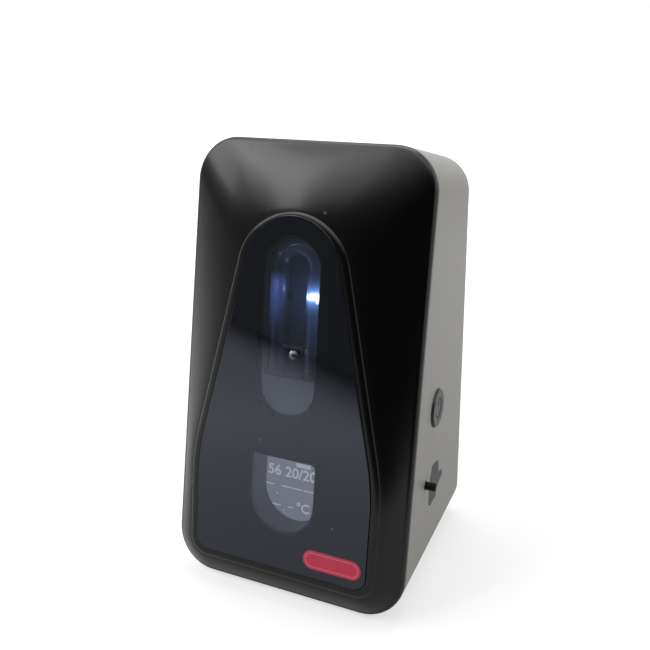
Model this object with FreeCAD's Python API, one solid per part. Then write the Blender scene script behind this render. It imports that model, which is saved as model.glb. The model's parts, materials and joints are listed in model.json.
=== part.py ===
import FreeCAD, Part
import math
import os

# A compact upright density meter: a leaning front with a proud teardrop panel, the glass measuring cell
# behind its upper window, a display behind its lower one, and the pieces that it needs inside.
# Millimetres. X to the right, Y to the back, Z up. The origin is the middle of the face that it rests on.

Vec = FreeCAD.Vector
Placement = FreeCAD.Placement
Rotation = FreeCAD.Rotation
SIDE = Vec(1, 0, 0)
BACK = Vec(0, 1, 0)
UP = Vec(0, 0, 1)

# Housing
face_width = 90.0
face_height = 162.5
face_corner = 15.3
side_taper_deg = 0.5
lean_deg = 12.0
base_depth = 77.5
back_width = 86.0
back_corner = 13.0
back_round = 2.5
wall = 2.4
cut_over = 2.0
flat_share = 1e-4

# Base pad
pad_proud = 0.8
pad_sunk = 0.8
pad_width = 54.0
pad_depth = 60.0
pad_corner = 6.0
pad_gap = 0.2

# Rear cover and its screws
cover_thickness = 2.4
cover_margin = 4.0
cover_gap = 0.25
ledge_width = 4.0
ledge_thickness = 2.0
cover_screw_inset = 9.5
cover_boss_radius = 3.6
cover_boss_length = 10.0
vent_count = 7
vent_width = 1.8
vent_length = 34.0
vent_pitch = 4.6
vent_top_margin = 22.0

# Screws of one kind
screw_head_radius = 2.7
screw_head_height = 1.7
screw_radius = 1.5
screw_length = 8.0
screw_clearance = 0.2
screw_socket_radius = 1.0
screw_socket_depth = 0.9
hex_sides = 6

# Fascia
rim_wall = 0.8
rim_round = 2.2
rim_turn_deg = 68.0
rim_shares = (0, 1 / 3, 2 / 3, 1)
flank_shares = (0, 1 / 4, 2 / 4, 3 / 4, 1)
tongue_length = 5.0
tongue_thickness = 1.6
tongue_gap = 0.3
flank_bow = 1.35
panel_proud = 8.1
panel_tilt_deg = 2.15
frame_step = 1.0
frame_bevel = 0.45
frame_half = 37.0
frame_low = 8.5
frame_waist = 49.5
frame_slope_deg = 12.7
frame_top_radius = 21.1
frame_corner = 7.2
frame_blend = 85.0
shoulder_deg = 52.0

# Glass panel and its mask
glass_thickness = 3.0
glass_proud = 0.4
glass_bevel = 0.35
glass_gap = 0.4
band_side = 3.4
band_low = 3.8
glass_top_radius = 17.2
glass_corner = 4.5
mask_thickness = 0.25
seat_ledge = 2.2

# Windows
cell_window_half = 10.1
cell_window_low = 69.0
cell_window_high = 130.2
display_window_half = 12.2
display_window_low = 25.4
display_window_high = 52.9
display_window_corner = 1.8
window_gap = 0.4

# Measuring cell
tube_radius = 3.0
tube_wall = 0.8
tube_gap = 0.5
tube_foot = 76.0
cell_front_gap = 1.15
manifold_half = 11.0
manifold_corner = 1.6
manifold_front_gap = 0.3
manifold_low = 62.0
manifold_high = 82.0
cell_wall = 1.4
cell_side_gap = 1.0
cell_depth = 9.0
cell_floor = 1.5
collar_radius = 3.5
collar_height = 2.2
collar_bevel = 0.3
bore_gap = 0.05
seat_gap = 0.05
bridge_height = 92.5
bridge_thickness = 1.2
bridge_depth = 3.0
magnet_radius = 2.3
magnet_steps_deg = (25, 50, 75, 105, 130, 155)
light_board_thickness = 1.2
light_board_half = 9.0
light_board_margin = 3.0
lamp_size = 2.8
lamp_height = 0.8
lamp_offset = 6.2
lamp_level = 108.8
lamp_pitch = 12.0
coil_radius = 3.2
coil_length = 2.0
coil_core_radius = 1.2
sensor_radius = 1.5
sensor_length = 7.0
sensor_level = 72.0

# Cell fittings and hoses
fitting_radius = 1.2
fitting_bore = 0.7
fitting_sunk = 4.0
fitting_length = 11.0
barb_height = 0.35
barb_length = 1.6
passage_level = 67.3
hose_radius = 2.0
hose_gap = 0.05
hose_turn_share = 0.45
hose_back_run = 15.5

# Display
shroud_wall = 1.3
display_drop = 12.0
screen_margin = 3.3
screen_thickness = 1.6
display_board_margin = 2.2
display_board_thickness = 1.2
spacer_radius = 1.8

# Chassis and main board
chassis_gap = 2.0
chassis_thickness = 1.5
chassis_side_gap = 8.0
chassis_low = 14.0
chassis_top_margin = 16.5
chassis_corner = 6.0
chassis_hole = 3.5
boss_radius = 3.0
boss_side_inset = 5.0
boss_low = 22.0
boss_top_inset = 11.0
boss_root = 8.0
main_board_half = 27.0
main_board_low = 82.0
main_board_top_inset = 4.0
main_board_thickness = 1.6
standoff_length = 6.0
standoff_radius = 2.2
standoff_inset = 4.0
chip_height = 1.4
socket_height = 4.0
chip_shares = ((0, 0, 0.25), (-0.5, 0.34, 0.18), (0.5, -0.23, 0.15))
socket_shares = ((-0.56, -0.45, 0.2), (0.56, 0.45, 0.2))
pad_foam_half = 8.0
pad_foam_low = 92.0
pad_foam_high = 122.0

# Battery
battery_width = 52.0
battery_depth = 34.0
battery_height = 11.0
battery_round = 2.0
tray_wall = 1.5
tray_height = 7.0
tray_gap = 0.3
battery_back_gap = 10.5

# Power button and switch, placed from the front rim's foot
button_depth = 36.6
button_height = 66.4
button_radius = 6.9
button_proud = 1.0
button_gap = 0.15
button_edge = 0.4
button_travel = 0.6
button_flange = 1.0
button_flange_thickness = 1.2
button_rest_gap = 0.3
guide_wall = 1.6
guide_gap = 0.3
guide_length = 5.0
stem_radius = 1.5
switch_size = 6.2
switch_height = 3.4
plunger_radius = 1.1
plunger_gap = 0.1
plunger_length = 1.6
plunger_travel_gap = 0.3
switch_board_half = 6.5
switch_board_height = 24.0
switch_board_thickness = 1.2
guide_post_radius = 2.4
guide_post_inset = 3.0

# Charging jack and its plug
port_depth = 25.2
port_height = 40.8
port_hole = 1.75
jack_radius = 2.4
jack_bore = 1.3
jack_length = 8.0
jack_floor = 1.0
pin_radius = 0.45
pin_reach = 5.0
plug_radius = 1.45
plug_proud = 3.8
plug_bevel = 0.3
plug_tip_radius = 1.15
plug_reach = 4.6
plug_bore = 0.6
port_board_width = 6.6
port_board_length = 14.0
port_board_thickness = 1.2
shelf_thickness = 2.0
shelf_margin = 0.5

# Sample ports on the left wall
sample_depth = 36.0
inlet_height = 57.0
sample_pitch = 18.0
flange_radius = 5.6
flange_thickness = 1.6
spot_depth = 0.8
spot_gap = 0.2
barrel_radius = 3.5
barrel_length = 7.5
socket_radius = 2.1
socket_depth = 8.0
shank_radius = 2.8
nut_radius = 5.0
nut_thickness = 3.0
tail_length = 9.0

# Places that follow from the sizes above
taper = math.tan(math.radians(side_taper_deg))
lean_sin = math.sin(math.radians(lean_deg))
lean_cos = math.cos(math.radians(lean_deg))
front_y = -base_depth / 2
back_y = base_depth / 2
top_reach = (base_depth - face_height * lean_sin) / lean_cos
back_height = face_height * lean_cos - top_reach * lean_sin
face_place = Placement(Vec(0, front_y, pad_proud), Rotation(SIDE, -lean_deg))
panel_shift = Placement(Vec(0, -panel_proud, 0), Rotation(SIDE, panel_tilt_deg))
panel_place = face_place.multiply(panel_shift)
back_place = Placement(Vec(0, back_y, pad_proud), Rotation())
seat_depth = glass_thickness - glass_proud + mask_thickness
ledge_back = seat_depth + seat_ledge
tube_reach = cell_window_half - tube_radius - window_gap / 2
tube_level = cell_window_high - cell_window_half
tube_depth = seat_depth + cell_front_gap + tube_radius
cell_back = ledge_back + cell_depth
screen_front = glass_thickness - glass_proud + display_drop
display_back = screen_front + screen_thickness + display_board_thickness
chassis_front = display_back + chassis_gap
chassis_back = chassis_front + chassis_thickness
chassis_half = (face_width / 2 + back_width / 2) / 2 - chassis_side_gap
chassis_high = face_height - chassis_top_margin
boss_side = chassis_half - boss_side_inset
boss_high = chassis_high - boss_top_inset
main_board_high = chassis_high - main_board_top_inset
tongue_inner = wall + tongue_gap + tongue_thickness


def unit(v):
    size = math.hypot(v[0], v[1])
    return (v[0] / size, v[1] / size)


def between(a, b, share):
    return (a[0] + (b[0] - a[0]) * share, a[1] + (b[1] - a[1]) * share)


def corner_edge(before, corner, after, radius):
    """Start, middle and end of the arc that rounds one corner of an outline."""
    d1 = unit((before[0] - corner[0], before[1] - corner[1]))
    d2 = unit((after[0] - corner[0], after[1] - corner[1]))
    half_angle = math.acos(d1[0] * d2[0] + d1[1] * d2[1]) / 2
    reach = radius / math.tan(half_angle)
    axis = unit((d1[0] + d2[0], d1[1] + d2[1]))
    centre_reach = radius / math.sin(half_angle)
    start = (corner[0] + d1[0] * reach, corner[1] + d1[1] * reach)
    end = (corner[0] + d2[0] * reach, corner[1] + d2[1] * reach)
    middle = (corner[0] + axis[0] * (centre_reach - radius), corner[1] + axis[1] * (centre_reach - radius))
    return (start, middle, end)


def rounded(corners, radii):
    """Outline of straight and round edges, each as start, middle and end, from the first straight one."""
    count = len(corners)
    arcs = [corner_edge(corners[i - 1], corners[i], corners[(i + 1) % count], radii[i]) for i in range(count)]
    edges = []
    for i in range(count):
        start = arcs[i][2]
        end = arcs[(i + 1) % count][0]
        edges.append((start, between(start, end, 0.5), end))
        edges.append(arcs[(i + 1) % count])
    return edges


def split_line(edge, shares):
    """Cut a straight edge at the given shares of its length."""
    cuts = [0.0] + list(shares) + [1.0]
    pieces = []
    for a, b in zip(cuts, cuts[1:]):
        p = between(edge[0], edge[2], a)
        q = between(edge[0], edge[2], b)
        pieces.append((p, between(p, q, 0.5), q))
    return pieces


def box_outline(half_low, half_high, low, high, radius_low, radius_high):
    corners = [(-half_low, low), (half_low, low), (half_high, high), (-half_high, high)]
    return rounded(corners, [radius_low, radius_low, radius_high, radius_high])


def housing_outline(width, height, radius, inset):
    """Tapered rounded outline of the housing, its long sides cut to match the teardrop's."""
    half_low = width / 2 + height / 2 * taper - inset
    half_high = width / 2 - height / 2 * taper - inset
    radius_in = radius - inset
    edges = box_outline(half_low, half_high, inset, height - inset, radius_in, radius_in)
    waist_shares = [(frame_waist - frame_blend * math.tan(math.radians(frame_slope_deg / 2)) - radius)
                    / (height - 2 * radius),
                    (frame_waist + frame_blend * math.tan(math.radians(frame_slope_deg / 2)) - radius)
                    / (height - 2 * radius)]
    mirrored = [1 - share for share in reversed(waist_shares)]
    bottom, right_low, right, right_high, top, left_high, left, left_low = edges
    cut_right = split_line(right, waist_shares)
    cut_left = split_line(left, mirrored)
    return [bottom, right_low] + cut_right + [right_high, top, left_high] + cut_left + [left_low]


def front_outline(inset):
    return housing_outline(face_width, face_height, face_corner, inset)


def back_outline(inset):
    return housing_outline(back_width, back_height, back_corner, inset)


def teardrop(half, low, waist, slope_deg, top_radius, corner, blend):
    """Teardrop outline: upright lower sides, leaning upper sides and a round top cut in three."""
    slope = math.radians(slope_deg)
    tip = waist + half / math.tan(slope)
    corners = [(-half, low), (half, low), (half, waist), (0, tip), (-half, waist)]
    edges = rounded(corners, [corner, corner, blend, top_radius, blend])
    bottom, right_corner, right, right_waist, right_lean, top, left_lean, left_waist, left, left_corner = edges
    centre = tip - top_radius / math.sin(slope)
    angles = [slope, math.radians(shoulder_deg), math.pi - math.radians(shoulder_deg), math.pi - slope]
    tops = []
    for a, b in zip(angles, angles[1:]):
        spots = [a, (a + b) / 2, b]
        tops.append(tuple((top_radius * math.cos(t), centre + top_radius * math.sin(t)) for t in spots))
    return [bottom, right_corner, right, right_waist, right_lean] + tops + [
        left_lean, left_waist, left, left_corner]


def frame_outline(inset):
    """The frame's teardrop, drawn in all round by an inset."""
    waist = frame_waist - inset * math.tan(math.radians(frame_slope_deg / 2))
    return teardrop(frame_half - inset, frame_low + inset, waist, frame_slope_deg, frame_top_radius - inset,
                    frame_corner - inset, frame_blend)


def glass_outline(grow):
    waist = frame_waist + grow * math.tan(math.radians(frame_slope_deg / 2))
    return teardrop(frame_half - band_side + grow, frame_low + band_low - grow, waist, frame_slope_deg,
                    glass_top_radius + grow, glass_corner + grow, frame_blend)


def cell_window(grow):
    half = cell_window_half + grow
    nearly = half * (1 - window_gap / face_width)
    return box_outline(half, half, cell_window_low - grow, cell_window_high + grow, nearly, nearly)


def display_window(grow):
    half = display_window_half + grow
    nearly = half * (1 - window_gap / face_width)
    return box_outline(half, half, display_window_low - grow, display_window_high + grow, nearly,
                       display_window_corner + grow)


def plate_outline(half, low, high, corner):
    return box_outline(half, half, low, high, corner, corner)


def edge_through(points):
    a, m, b = points
    bulge = (m - (a + b) * 0.5).Length
    if bulge < (b - a).Length * flat_share:
        return Part.LineSegment(a, b).toShape()
    return Part.Arc(a, m, b).toShape()


def chords(edges):
    """The same outline with each arc drawn as two straight edges, for sides that aren't seen."""
    drawn = []
    for start, middle, end in edges:
        bulge = math.dist(middle, between(start, end, 0.5))
        if bulge < math.dist(start, end) * flat_share:
            drawn.append((start, middle, end))
        else:
            drawn.append((start, between(start, middle, 0.5), middle))
            drawn.append((middle, between(middle, end, 0.5), end))
    return drawn


def wire_of(edges, depth_at, place):
    """Wire through an outline whose depth is given for each of its points."""
    shapes = []
    for edge in edges:
        shapes.append(edge_through([place.multVec(Vec(p[0], depth_at(p), p[1])) for p in edge]))
    return Part.Wire(shapes)


def slab(edges, near, far, place):
    """Flat piece with an outline, from one depth to another."""
    face = Part.Face(wire_of(edges, lambda p: near, Placement()))
    solid = face.extrude(BACK * (far - near))
    return put(solid, place)


def put(shape, place):
    moved = shape.copy()
    moved.Placement = place.multiply(moved.Placement)
    return moved


def block(half, low, high, near, far, place=Placement()):
    return put(Part.makeBox(2 * half, far - near, high - low, Vec(-half, near, low)), place)


def rod(radius, near, far, x, v, place=Placement()):
    """Cylinder along the depth direction."""
    return put(Part.makeCylinder(radius, far - near, Vec(x, near, v), BACK), place)


def prism(radius, near, far, x, v, place=Placement()):
    """Six-sided bar along the depth direction."""
    corners = []
    for i in range(hex_sides):
        angle = 2 * math.pi * i / hex_sides
        corners.append(Vec(x + radius * math.cos(angle), near, v + radius * math.sin(angle)))
    hexagon = Part.Face(Part.makePolygon(corners + [corners[0]]))
    return put(hexagon.extrude(BACK * (far - near)), place)


def turned(profile, place):
    """Solid turned about the X axis from a closed profile of (along, radius) points."""
    points = [Vec(a, 0, r) for a, r in profile]
    face = Part.Face(Part.makePolygon(points + [points[0]]))
    return put(face.revolve(Vec(0, 0, 0), SIDE, 360), place)


def one(shape):
    """The solid itself where a cut or a joint gives a compound of one."""
    return shape.Solids[0] if len(shape.Solids) == 1 else shape


def group(shapes):
    return Part.makeCompound([s for shape in shapes for s in shape.Solids])


def front_point(x, depth, height):
    """Point at a depth behind the front rim's foot and a height above the housing's underside."""
    return Vec(x, front_y + depth, pad_proud + height)


def side_at(depth, height):
    """Half width of the housing at a depth behind the front rim's foot and a height."""
    along = depth * lean_sin + height * lean_cos
    reach = depth * lean_cos - height * lean_sin
    front_half = face_width / 2 + (face_height / 2 - along) * taper
    back_half = back_width / 2 + (back_height / 2 - height) * taper
    reach_back = (base_depth - along * lean_sin) / lean_cos
    return front_half + (back_half - front_half) * reach / reach_back


def rounded_back():
    """Last stretch of the housing, whose edge turns in towards the back."""
    wires = []
    for share in rim_shares:
        turn = math.pi / 2 * share
        inset = back_round * (1 - math.cos(turn))
        before = back_round * (1 - math.sin(turn))
        wires.append(wire_of(back_outline(inset), lambda p: -before, back_place))
    return Part.makeLoft(wires, True, True)


def inner_form(inset):
    """Housing form drawn in all round by an inset, for sides that face inwards."""
    front = wire_of(chords(front_outline(inset)), lambda p: 0, face_place)
    back = wire_of(chords(back_outline(inset)), lambda p: 0, back_place)
    return Part.makeLoft([front, back], True, True)


def screw_at(place):
    """Screw with its head's face at the origin of its place, pointing along the depth direction."""
    head = rod(screw_head_radius, 0, screw_head_height, 0, 0)
    shank = rod(screw_radius, 0, screw_head_height + screw_length, 0, 0)
    socket = prism(screw_socket_radius, -cut_over, screw_socket_depth, 0, 0)
    return put(one(head.fuse(shank).cut(socket)), place)


def screw_hole(place, depth):
    return rod(screw_radius + screw_clearance, -cut_over, depth, 0, 0, place)


def cover_screw_places():
    low_half = back_width / 2 - cover_screw_inset
    spots = [(-low_half, cover_screw_inset), (low_half, cover_screw_inset),
             (low_half, back_height - cover_screw_inset), (-low_half, back_height - cover_screw_inset)]
    turn = Rotation(UP, 180)
    return [Placement(Vec(x, back_y, pad_proud + z), turn) for x, z in spots]


def wall_place(side, depth, height):
    """Place on a side wall, the X axis pointing straight into the housing through the wall."""
    back_slope = (side_at(depth + wall, height) - side_at(depth, height)) / wall
    up_slope = (side_at(depth, height + wall) - side_at(depth, height)) / wall
    inward = Vec(-side, back_slope, up_slope)
    spot = front_point(side * side_at(depth, height), depth, height)
    return Placement(spot, Rotation(inward, Vec(0, 0, 0), UP, "XZY"))


def sample_place(level):
    return wall_place(-1, sample_depth, inlet_height + level * sample_pitch)


def button_place():
    return wall_place(1, button_depth, button_height)


def port_place():
    return wall_place(1, port_depth, port_height)


def on_wall_box(near, length, half, low, thickness, place):
    """Flat piece that stands out from a side wall into the housing."""
    return put(Part.makeBox(length, 2 * half, thickness, Vec(near, -half, low)), place)


def board_under():
    """Level of the port board's underside against the jack's axis."""
    return -jack_radius - port_board_thickness


def flank_section(share):
    """Section of the fascia's flank, from the rim's rounding to the side of the teardrop."""
    turn = math.radians(rim_turn_deg)
    inset = rim_round * (1 - math.cos(turn))
    start_height = rim_wall + rim_round * math.sin(turn)
    forward = face_place.Rotation.multVec(-BACK)
    bow_share = 1 - (1 - share) ** flank_bow - share
    shapes = []
    for outer, inner in zip(front_outline(inset), frame_outline(0)):
        points = []
        for p, q in zip(outer, inner):
            start = face_place.multVec(Vec(p[0], -start_height, p[1]))
            end = panel_place.multVec(Vec(q[0], frame_step, q[1]))
            rise = (end - start).dot(forward)
            points.append(start + (end - start) * share + forward * (rise * bow_share))
        shapes.append(edge_through(points))
    return Part.Wire(shapes)


def rim_section(turn_deg):
    turn = math.radians(turn_deg)
    inset = rim_round * (1 - math.cos(turn))
    rise = rim_wall + rim_round * math.sin(turn)
    return wire_of(front_outline(inset), lambda p: -rise, face_place)


def front_fascia():
    """Moulded front: flanks from the rim to the teardrop frame, the seat for the glass and a hollow back."""
    rim = wire_of(front_outline(0), lambda p: 0, face_place)
    skirt = Part.makeLoft([rim, rim_section(0)], True, True)
    edge_round = Part.makeLoft([rim_section(rim_turn_deg * share) for share in rim_shares], True, True)
    flank = Part.makeLoft([flank_section(share) for share in flank_shares], True, True)
    frame = slab(frame_outline(0), 0, frame_step + seat_depth, Placement())
    rim_edges = [e for e in frame.Edges if abs(e.BoundBox.YMax) < frame_bevel / 10]
    frame = put(frame.makeChamfer(frame_bevel, rim_edges), panel_place)
    tongue = inner_form(wall + tongue_gap).common(slab(front_outline(0), 0, tongue_length, face_place))
    body = skirt.fuse([edge_round, flank, frame, tongue])
    hollow = inner_form(tongue_inner)
    mouth = wire_of(chords(front_outline(tongue_inner)), lambda p: 0, face_place)
    back_of_seat = wire_of(chords(frame_outline(band_side)), lambda p: ledge_back, panel_place)
    throat = Part.makeLoft([mouth, back_of_seat], True, True)
    body = body.cut(hollow.fuse(throat))
    posts = []
    for x in (-boss_side, boss_side):
        posts.append(rod(boss_radius, seat_depth + seat_ledge / 2, chassis_front, x, boss_low, panel_place))
        posts.append(rod(boss_radius, boss_root, chassis_front, x, boss_high, panel_place))
    body = body.fuse(posts)
    cuts = [slab(glass_outline(glass_gap), -cut_over, seat_depth, panel_place),
            slab(cell_window(window_gap), 0, ledge_back + cut_over, panel_place),
            slab(display_window(window_gap), 0, ledge_back + cut_over / 2, panel_place)]
    for x in (-boss_side, boss_side):
        for v in (boss_low, boss_high):
            cuts.append(rod(screw_radius, chassis_front - screw_length, chassis_front + cut_over, x, v,
                            panel_place))
    return one(body.cut(cuts).removeSplitter())


def glass_panel():
    pane = slab(glass_outline(0), -glass_proud, glass_thickness - glass_proud, Placement())
    edges = [e for e in pane.Edges if abs(e.BoundBox.YMax + glass_proud) < glass_bevel / 10]
    return put(pane.makeChamfer(glass_bevel, edges), panel_place)


def window_mask():
    near = glass_thickness - glass_proud
    sheet = slab(glass_outline(0), near, seat_depth, panel_place)
    cell = slab(cell_window(0), near - cut_over, seat_depth + cut_over, panel_place)
    display = slab(display_window(0), near - cut_over, seat_depth + cut_over, panel_place)
    return one(sheet.cut([cell, display]))


def body_shell():
    """Drafted housing with an open front, a ledge for the rear cover and holes for what passes its walls."""
    front = wire_of(front_outline(0), lambda p: 0, face_place)
    back = wire_of(back_outline(0), lambda p: -back_round, back_place)
    outer = Part.makeLoft([front, back], True, True).fuse(rounded_back())
    rear = slab(back_outline(0), -cover_thickness - ledge_thickness, cut_over, back_place)
    cavity = inner_form(wall).cut(rear)
    recess = slab(back_outline(cover_margin), -cover_thickness, cut_over, back_place)
    opening = slab(back_outline(cover_margin + ledge_width), -cover_thickness - ledge_thickness - cut_over,
                   cut_over, back_place)
    bosses = []
    for place in cover_screw_places():
        near = cover_thickness
        boss = rod(cover_boss_radius, near, near + cover_boss_length, 0, 0, place)
        bosses.append(boss)
    shelf = on_wall_box(wall / 2, port_board_length + wall, port_board_width / 2 + shelf_margin,
                        board_under() - shelf_thickness, shelf_thickness, port_place())
    shell = outer.cut([cavity, recess, opening]).fuse(bosses + [shelf])
    cuts = [screw_hole(place, cover_thickness + cover_boss_length) for place in cover_screw_places()]
    hole = button_radius + button_gap
    cuts.append(put(Part.makeCylinder(hole, 2 * wall + cut_over, Vec(-cut_over, 0, 0), SIDE), button_place()))
    cuts.append(put(Part.makeCylinder(port_hole, 2 * wall + cut_over, Vec(-cut_over, 0, 0), SIDE), port_place()))
    for level in (0, 1):
        place = sample_place(level)
        cuts.append(put(Part.makeCylinder(flange_radius + spot_gap, spot_depth + cut_over, Vec(-cut_over, 0, 0),
                                          SIDE), place))
        cuts.append(put(Part.makeCylinder(shank_radius + spot_gap, wall + 2 * cut_over, Vec(-cut_over, 0, 0),
                                          SIDE), place))
    cuts.append(slab(pad_outline(pad_gap), -cut_over, pad_sunk, pad_place()))
    return one(shell.cut(cuts).removeSplitter())


def pad_place():
    """Lies in the base plane, its outline's height along Y and its depth along Z."""
    return Placement(Vec(0, 0, pad_proud), Rotation(SIDE, UP, BACK, "ZXY"))


def pad_outline(grow):
    return plate_outline(pad_width / 2 + grow, -pad_depth / 2 - grow, pad_depth / 2 + grow, pad_corner + grow)


def base_pad():
    return slab(pad_outline(0), -pad_proud, pad_sunk, pad_place())


def rear_cover():
    cover = slab(back_outline(cover_margin + cover_gap), -cover_thickness, 0, back_place)
    cuts = []
    for place in cover_screw_places():
        cuts.append(screw_hole(place, cover_thickness + cut_over))
        cuts.append(rod(screw_head_radius + screw_clearance, -cut_over, screw_head_height, 0, 0, place))
    for i in range(vent_count):
        v = back_height - vent_top_margin - i * vent_pitch
        cuts.append(block(vent_length / 2, v - vent_width / 2, v + vent_width / 2, -cover_thickness - cut_over,
                          cut_over, back_place))
    return one(cover.cut(cuts))


def rear_cover_screws():
    return group([screw_at(place) for place in cover_screw_places()])


def display_shroud():
    outer = slab(display_window(window_gap + shroud_wall), ledge_back, screen_front, panel_place)
    inner = slab(display_window(window_gap), ledge_back - cut_over, screen_front + cut_over, panel_place)
    return one(outer.cut(inner))


def display_screen():
    edges = plate_outline(display_window_half + screen_margin, display_window_low - screen_margin,
                          display_window_high + screen_margin, display_window_corner)
    return slab(edges, screen_front, screen_front + screen_thickness, panel_place)


def display_board_limits():
    margin = screen_margin + display_board_margin
    return (display_window_half + margin, display_window_low - margin, display_window_high + margin)


def display_board():
    half, low, high = display_board_limits()
    return slab(plate_outline(half, low, high, display_window_corner), screen_front + screen_thickness,
                display_back, panel_place)


def display_spacers():
    half, low, high = display_board_limits()
    inset = 2 * display_board_margin
    spots = [(x, v) for x in (inset - half, half - inset) for v in (low + inset, high - inset)]
    return group([prism(spacer_radius, display_back, chassis_front, x, v, panel_place) for x, v in spots])


def cell_housing_outline(grow):
    half = cell_window_half + cell_side_gap + cell_wall + grow
    return box_outline(half, half, manifold_low - cell_wall - grow,
                       cell_window_high + cell_side_gap + cell_wall + grow,
                       2 * cell_wall + grow, half * (1 - window_gap / face_width))


def cell_housing():
    """Dark tray that closes the cell's space behind the window."""
    outer = slab(cell_housing_outline(0), ledge_back, cell_back + cell_floor, panel_place)
    inner = slab(cell_housing_outline(-cell_wall + bore_gap), ledge_back - cut_over, cell_back, panel_place)
    holes = [rod(fitting_radius + tube_gap, cell_back - cut_over, cell_back + cell_floor + cut_over, x,
                 passage_level, panel_place) for x in (-tube_reach, tube_reach)]
    return one(outer.cut([inner] + holes))


def ring_face(centre, direction, outer, inner):
    """Ring across a run of tube."""
    full, hole = [Part.Face(Part.Wire([Part.makeCircle(r, centre, direction)])) for r in (outer, inner)]
    return full.cut(hole).Faces[0]


def straight_run(start, end, outer, inner):
    return ring_face(start, end - start, outer, inner).extrude(end - start)


def turned_run(start, direction, centre, angle_deg, outer, inner):
    """Run of tube that turns about a centre."""
    axis = (start - centre).cross(direction)
    return ring_face(start, direction, outer, inner).revolve(centre, axis, angle_deg)


def u_tube():
    """Bent glass tube, hollow, its open ends down in the manifold."""
    inner = tube_radius - tube_wall
    low = [Vec(x, tube_depth, tube_foot) for x in (-tube_reach, tube_reach)]
    high = [Vec(x, tube_depth, tube_level) for x in (-tube_reach, tube_reach)]
    runs = [straight_run(a, b, tube_radius, inner) for a, b in zip(low, high)]
    bend = turned_run(high[0], UP, Vec(0, tube_depth, tube_level), 180, tube_radius, inner)
    return put(one(runs[0].fuse([bend, runs[1]])), panel_place)


def cell_manifold():
    """Block that fills the window's foot, carries the tube's legs and leads them to the fittings behind."""
    outline = box_outline(manifold_half, manifold_half, manifold_low, manifold_high, manifold_corner, bore_gap)
    body = slab(outline, ledge_back, cell_back, Placement())
    front = slab(cell_window(0), seat_depth + manifold_front_gap, tube_depth, Placement())
    body = body.fuse(front.common(block(manifold_half, manifold_low, manifold_high, 0, tube_depth)))
    cuts = []
    for x in (-tube_reach, tube_reach):
        cuts.append(Part.makeCylinder(tube_radius + bore_gap, manifold_high, Vec(x, tube_depth, tube_foot), UP))
        cuts.append(Part.makeCylinder(fitting_radius, tube_foot - passage_level,
                                      Vec(x, tube_depth, passage_level), UP))
        cuts.append(rod(fitting_radius, tube_depth, cell_back - fitting_sunk, x, passage_level))
        cuts.append(rod(fitting_radius + bore_gap, cell_back - fitting_sunk, cell_back + cut_over, x,
                        passage_level))
    cuts.append(sensor_rod(bore_gap))
    return put(one(body.cut(cuts)), panel_place)


def sensor_rod(grow):
    start = Vec(manifold_half - sensor_length, cell_back - 2 * sensor_radius, sensor_level)
    return Part.makeCylinder(sensor_radius + grow, sensor_length, start, SIDE)


def temperature_sensor():
    return put(sensor_rod(0), panel_place)


def cell_collars():
    rings = []
    for x in (-tube_reach, tube_reach):
        ring = Part.makeCylinder(collar_radius, collar_height, Vec(x, tube_depth, manifold_high), UP)
        top = [e for e in ring.Edges if e.BoundBox.ZMin > manifold_high + collar_height / 2]
        ring = ring.makeChamfer(collar_bevel, top)
        hole = Part.makeCylinder(tube_radius + bore_gap, 2 * collar_height,
                                 Vec(x, tube_depth, manifold_high - collar_height / 2), UP)
        rings.append(put(ring.cut(hole), panel_place))
    return group(rings)


def magnet_bridge():
    """Small bracket that ties the two legs and carries the magnet."""
    inner = tube_reach - tube_radius - bore_gap
    bar = block(inner, -bridge_thickness / 2, bridge_thickness / 2, -bridge_depth / 2, bridge_depth / 2)
    return put(bar, panel_place.multiply(Placement(Vec(0, tube_depth, bridge_height), Rotation())))


def drive_magnet():
    """Turned bead under the bridge."""
    steps = [math.radians(angle) for angle in magnet_steps_deg]
    profile = [(-magnet_radius * math.cos(a), magnet_radius * math.sin(a)) for a in steps]
    bead = turned([(profile[0][0], 0)] + profile + [(profile[-1][0], 0)],
                  Placement(Vec(0, 0, 0), Rotation(BACK, 90)))
    level = bridge_height - bridge_thickness / 2 - magnet_radius * math.cos(steps[0])
    return put(bead, panel_place.multiply(Placement(Vec(0, tube_depth, level), Rotation())))


def light_board_front():
    return cell_back - light_board_thickness


def cell_light_board():
    edges = box_outline(light_board_half, light_board_half, manifold_high + light_board_margin,
                        cell_window_high - light_board_margin, cell_wall,
                        light_board_half * (1 - window_gap / face_width))
    return slab(edges, light_board_front(), cell_back, panel_place)


def cell_lamps():
    lamps = []
    for x in (-lamp_offset, lamp_offset):
        for i in (0, 1):
            v = lamp_level - i * lamp_pitch
            lamp = block(lamp_size / 2, v - lamp_size / 2, v + lamp_size / 2, light_board_front() - lamp_height,
                         light_board_front())
            lamps.append(put(lamp, panel_place.multiply(Placement(Vec(x, 0, 0), Rotation()))))
    return group(lamps)


def coil_front():
    return light_board_front() - coil_length


def drive_coil():
    """Flat coil behind the magnet, with its core."""
    level = bridge_height - bridge_thickness / 2 - magnet_radius
    ring = rod(coil_radius, coil_front(), light_board_front(), 0, level)
    core = rod(coil_core_radius, coil_front(), light_board_front(), 0, level)
    return put(one(ring.cut(core)), panel_place)


def coil_core():
    level = bridge_height - bridge_thickness / 2 - magnet_radius
    return rod(coil_core_radius, coil_front(), light_board_front(), 0, level, panel_place)


def fitting_place(side):
    """Place with the X axis pointing back along a cell fitting."""
    spot = Placement(Vec(side * tube_reach, cell_back - fitting_sunk, passage_level), Rotation(UP, 90))
    return panel_place.multiply(spot)


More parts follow.
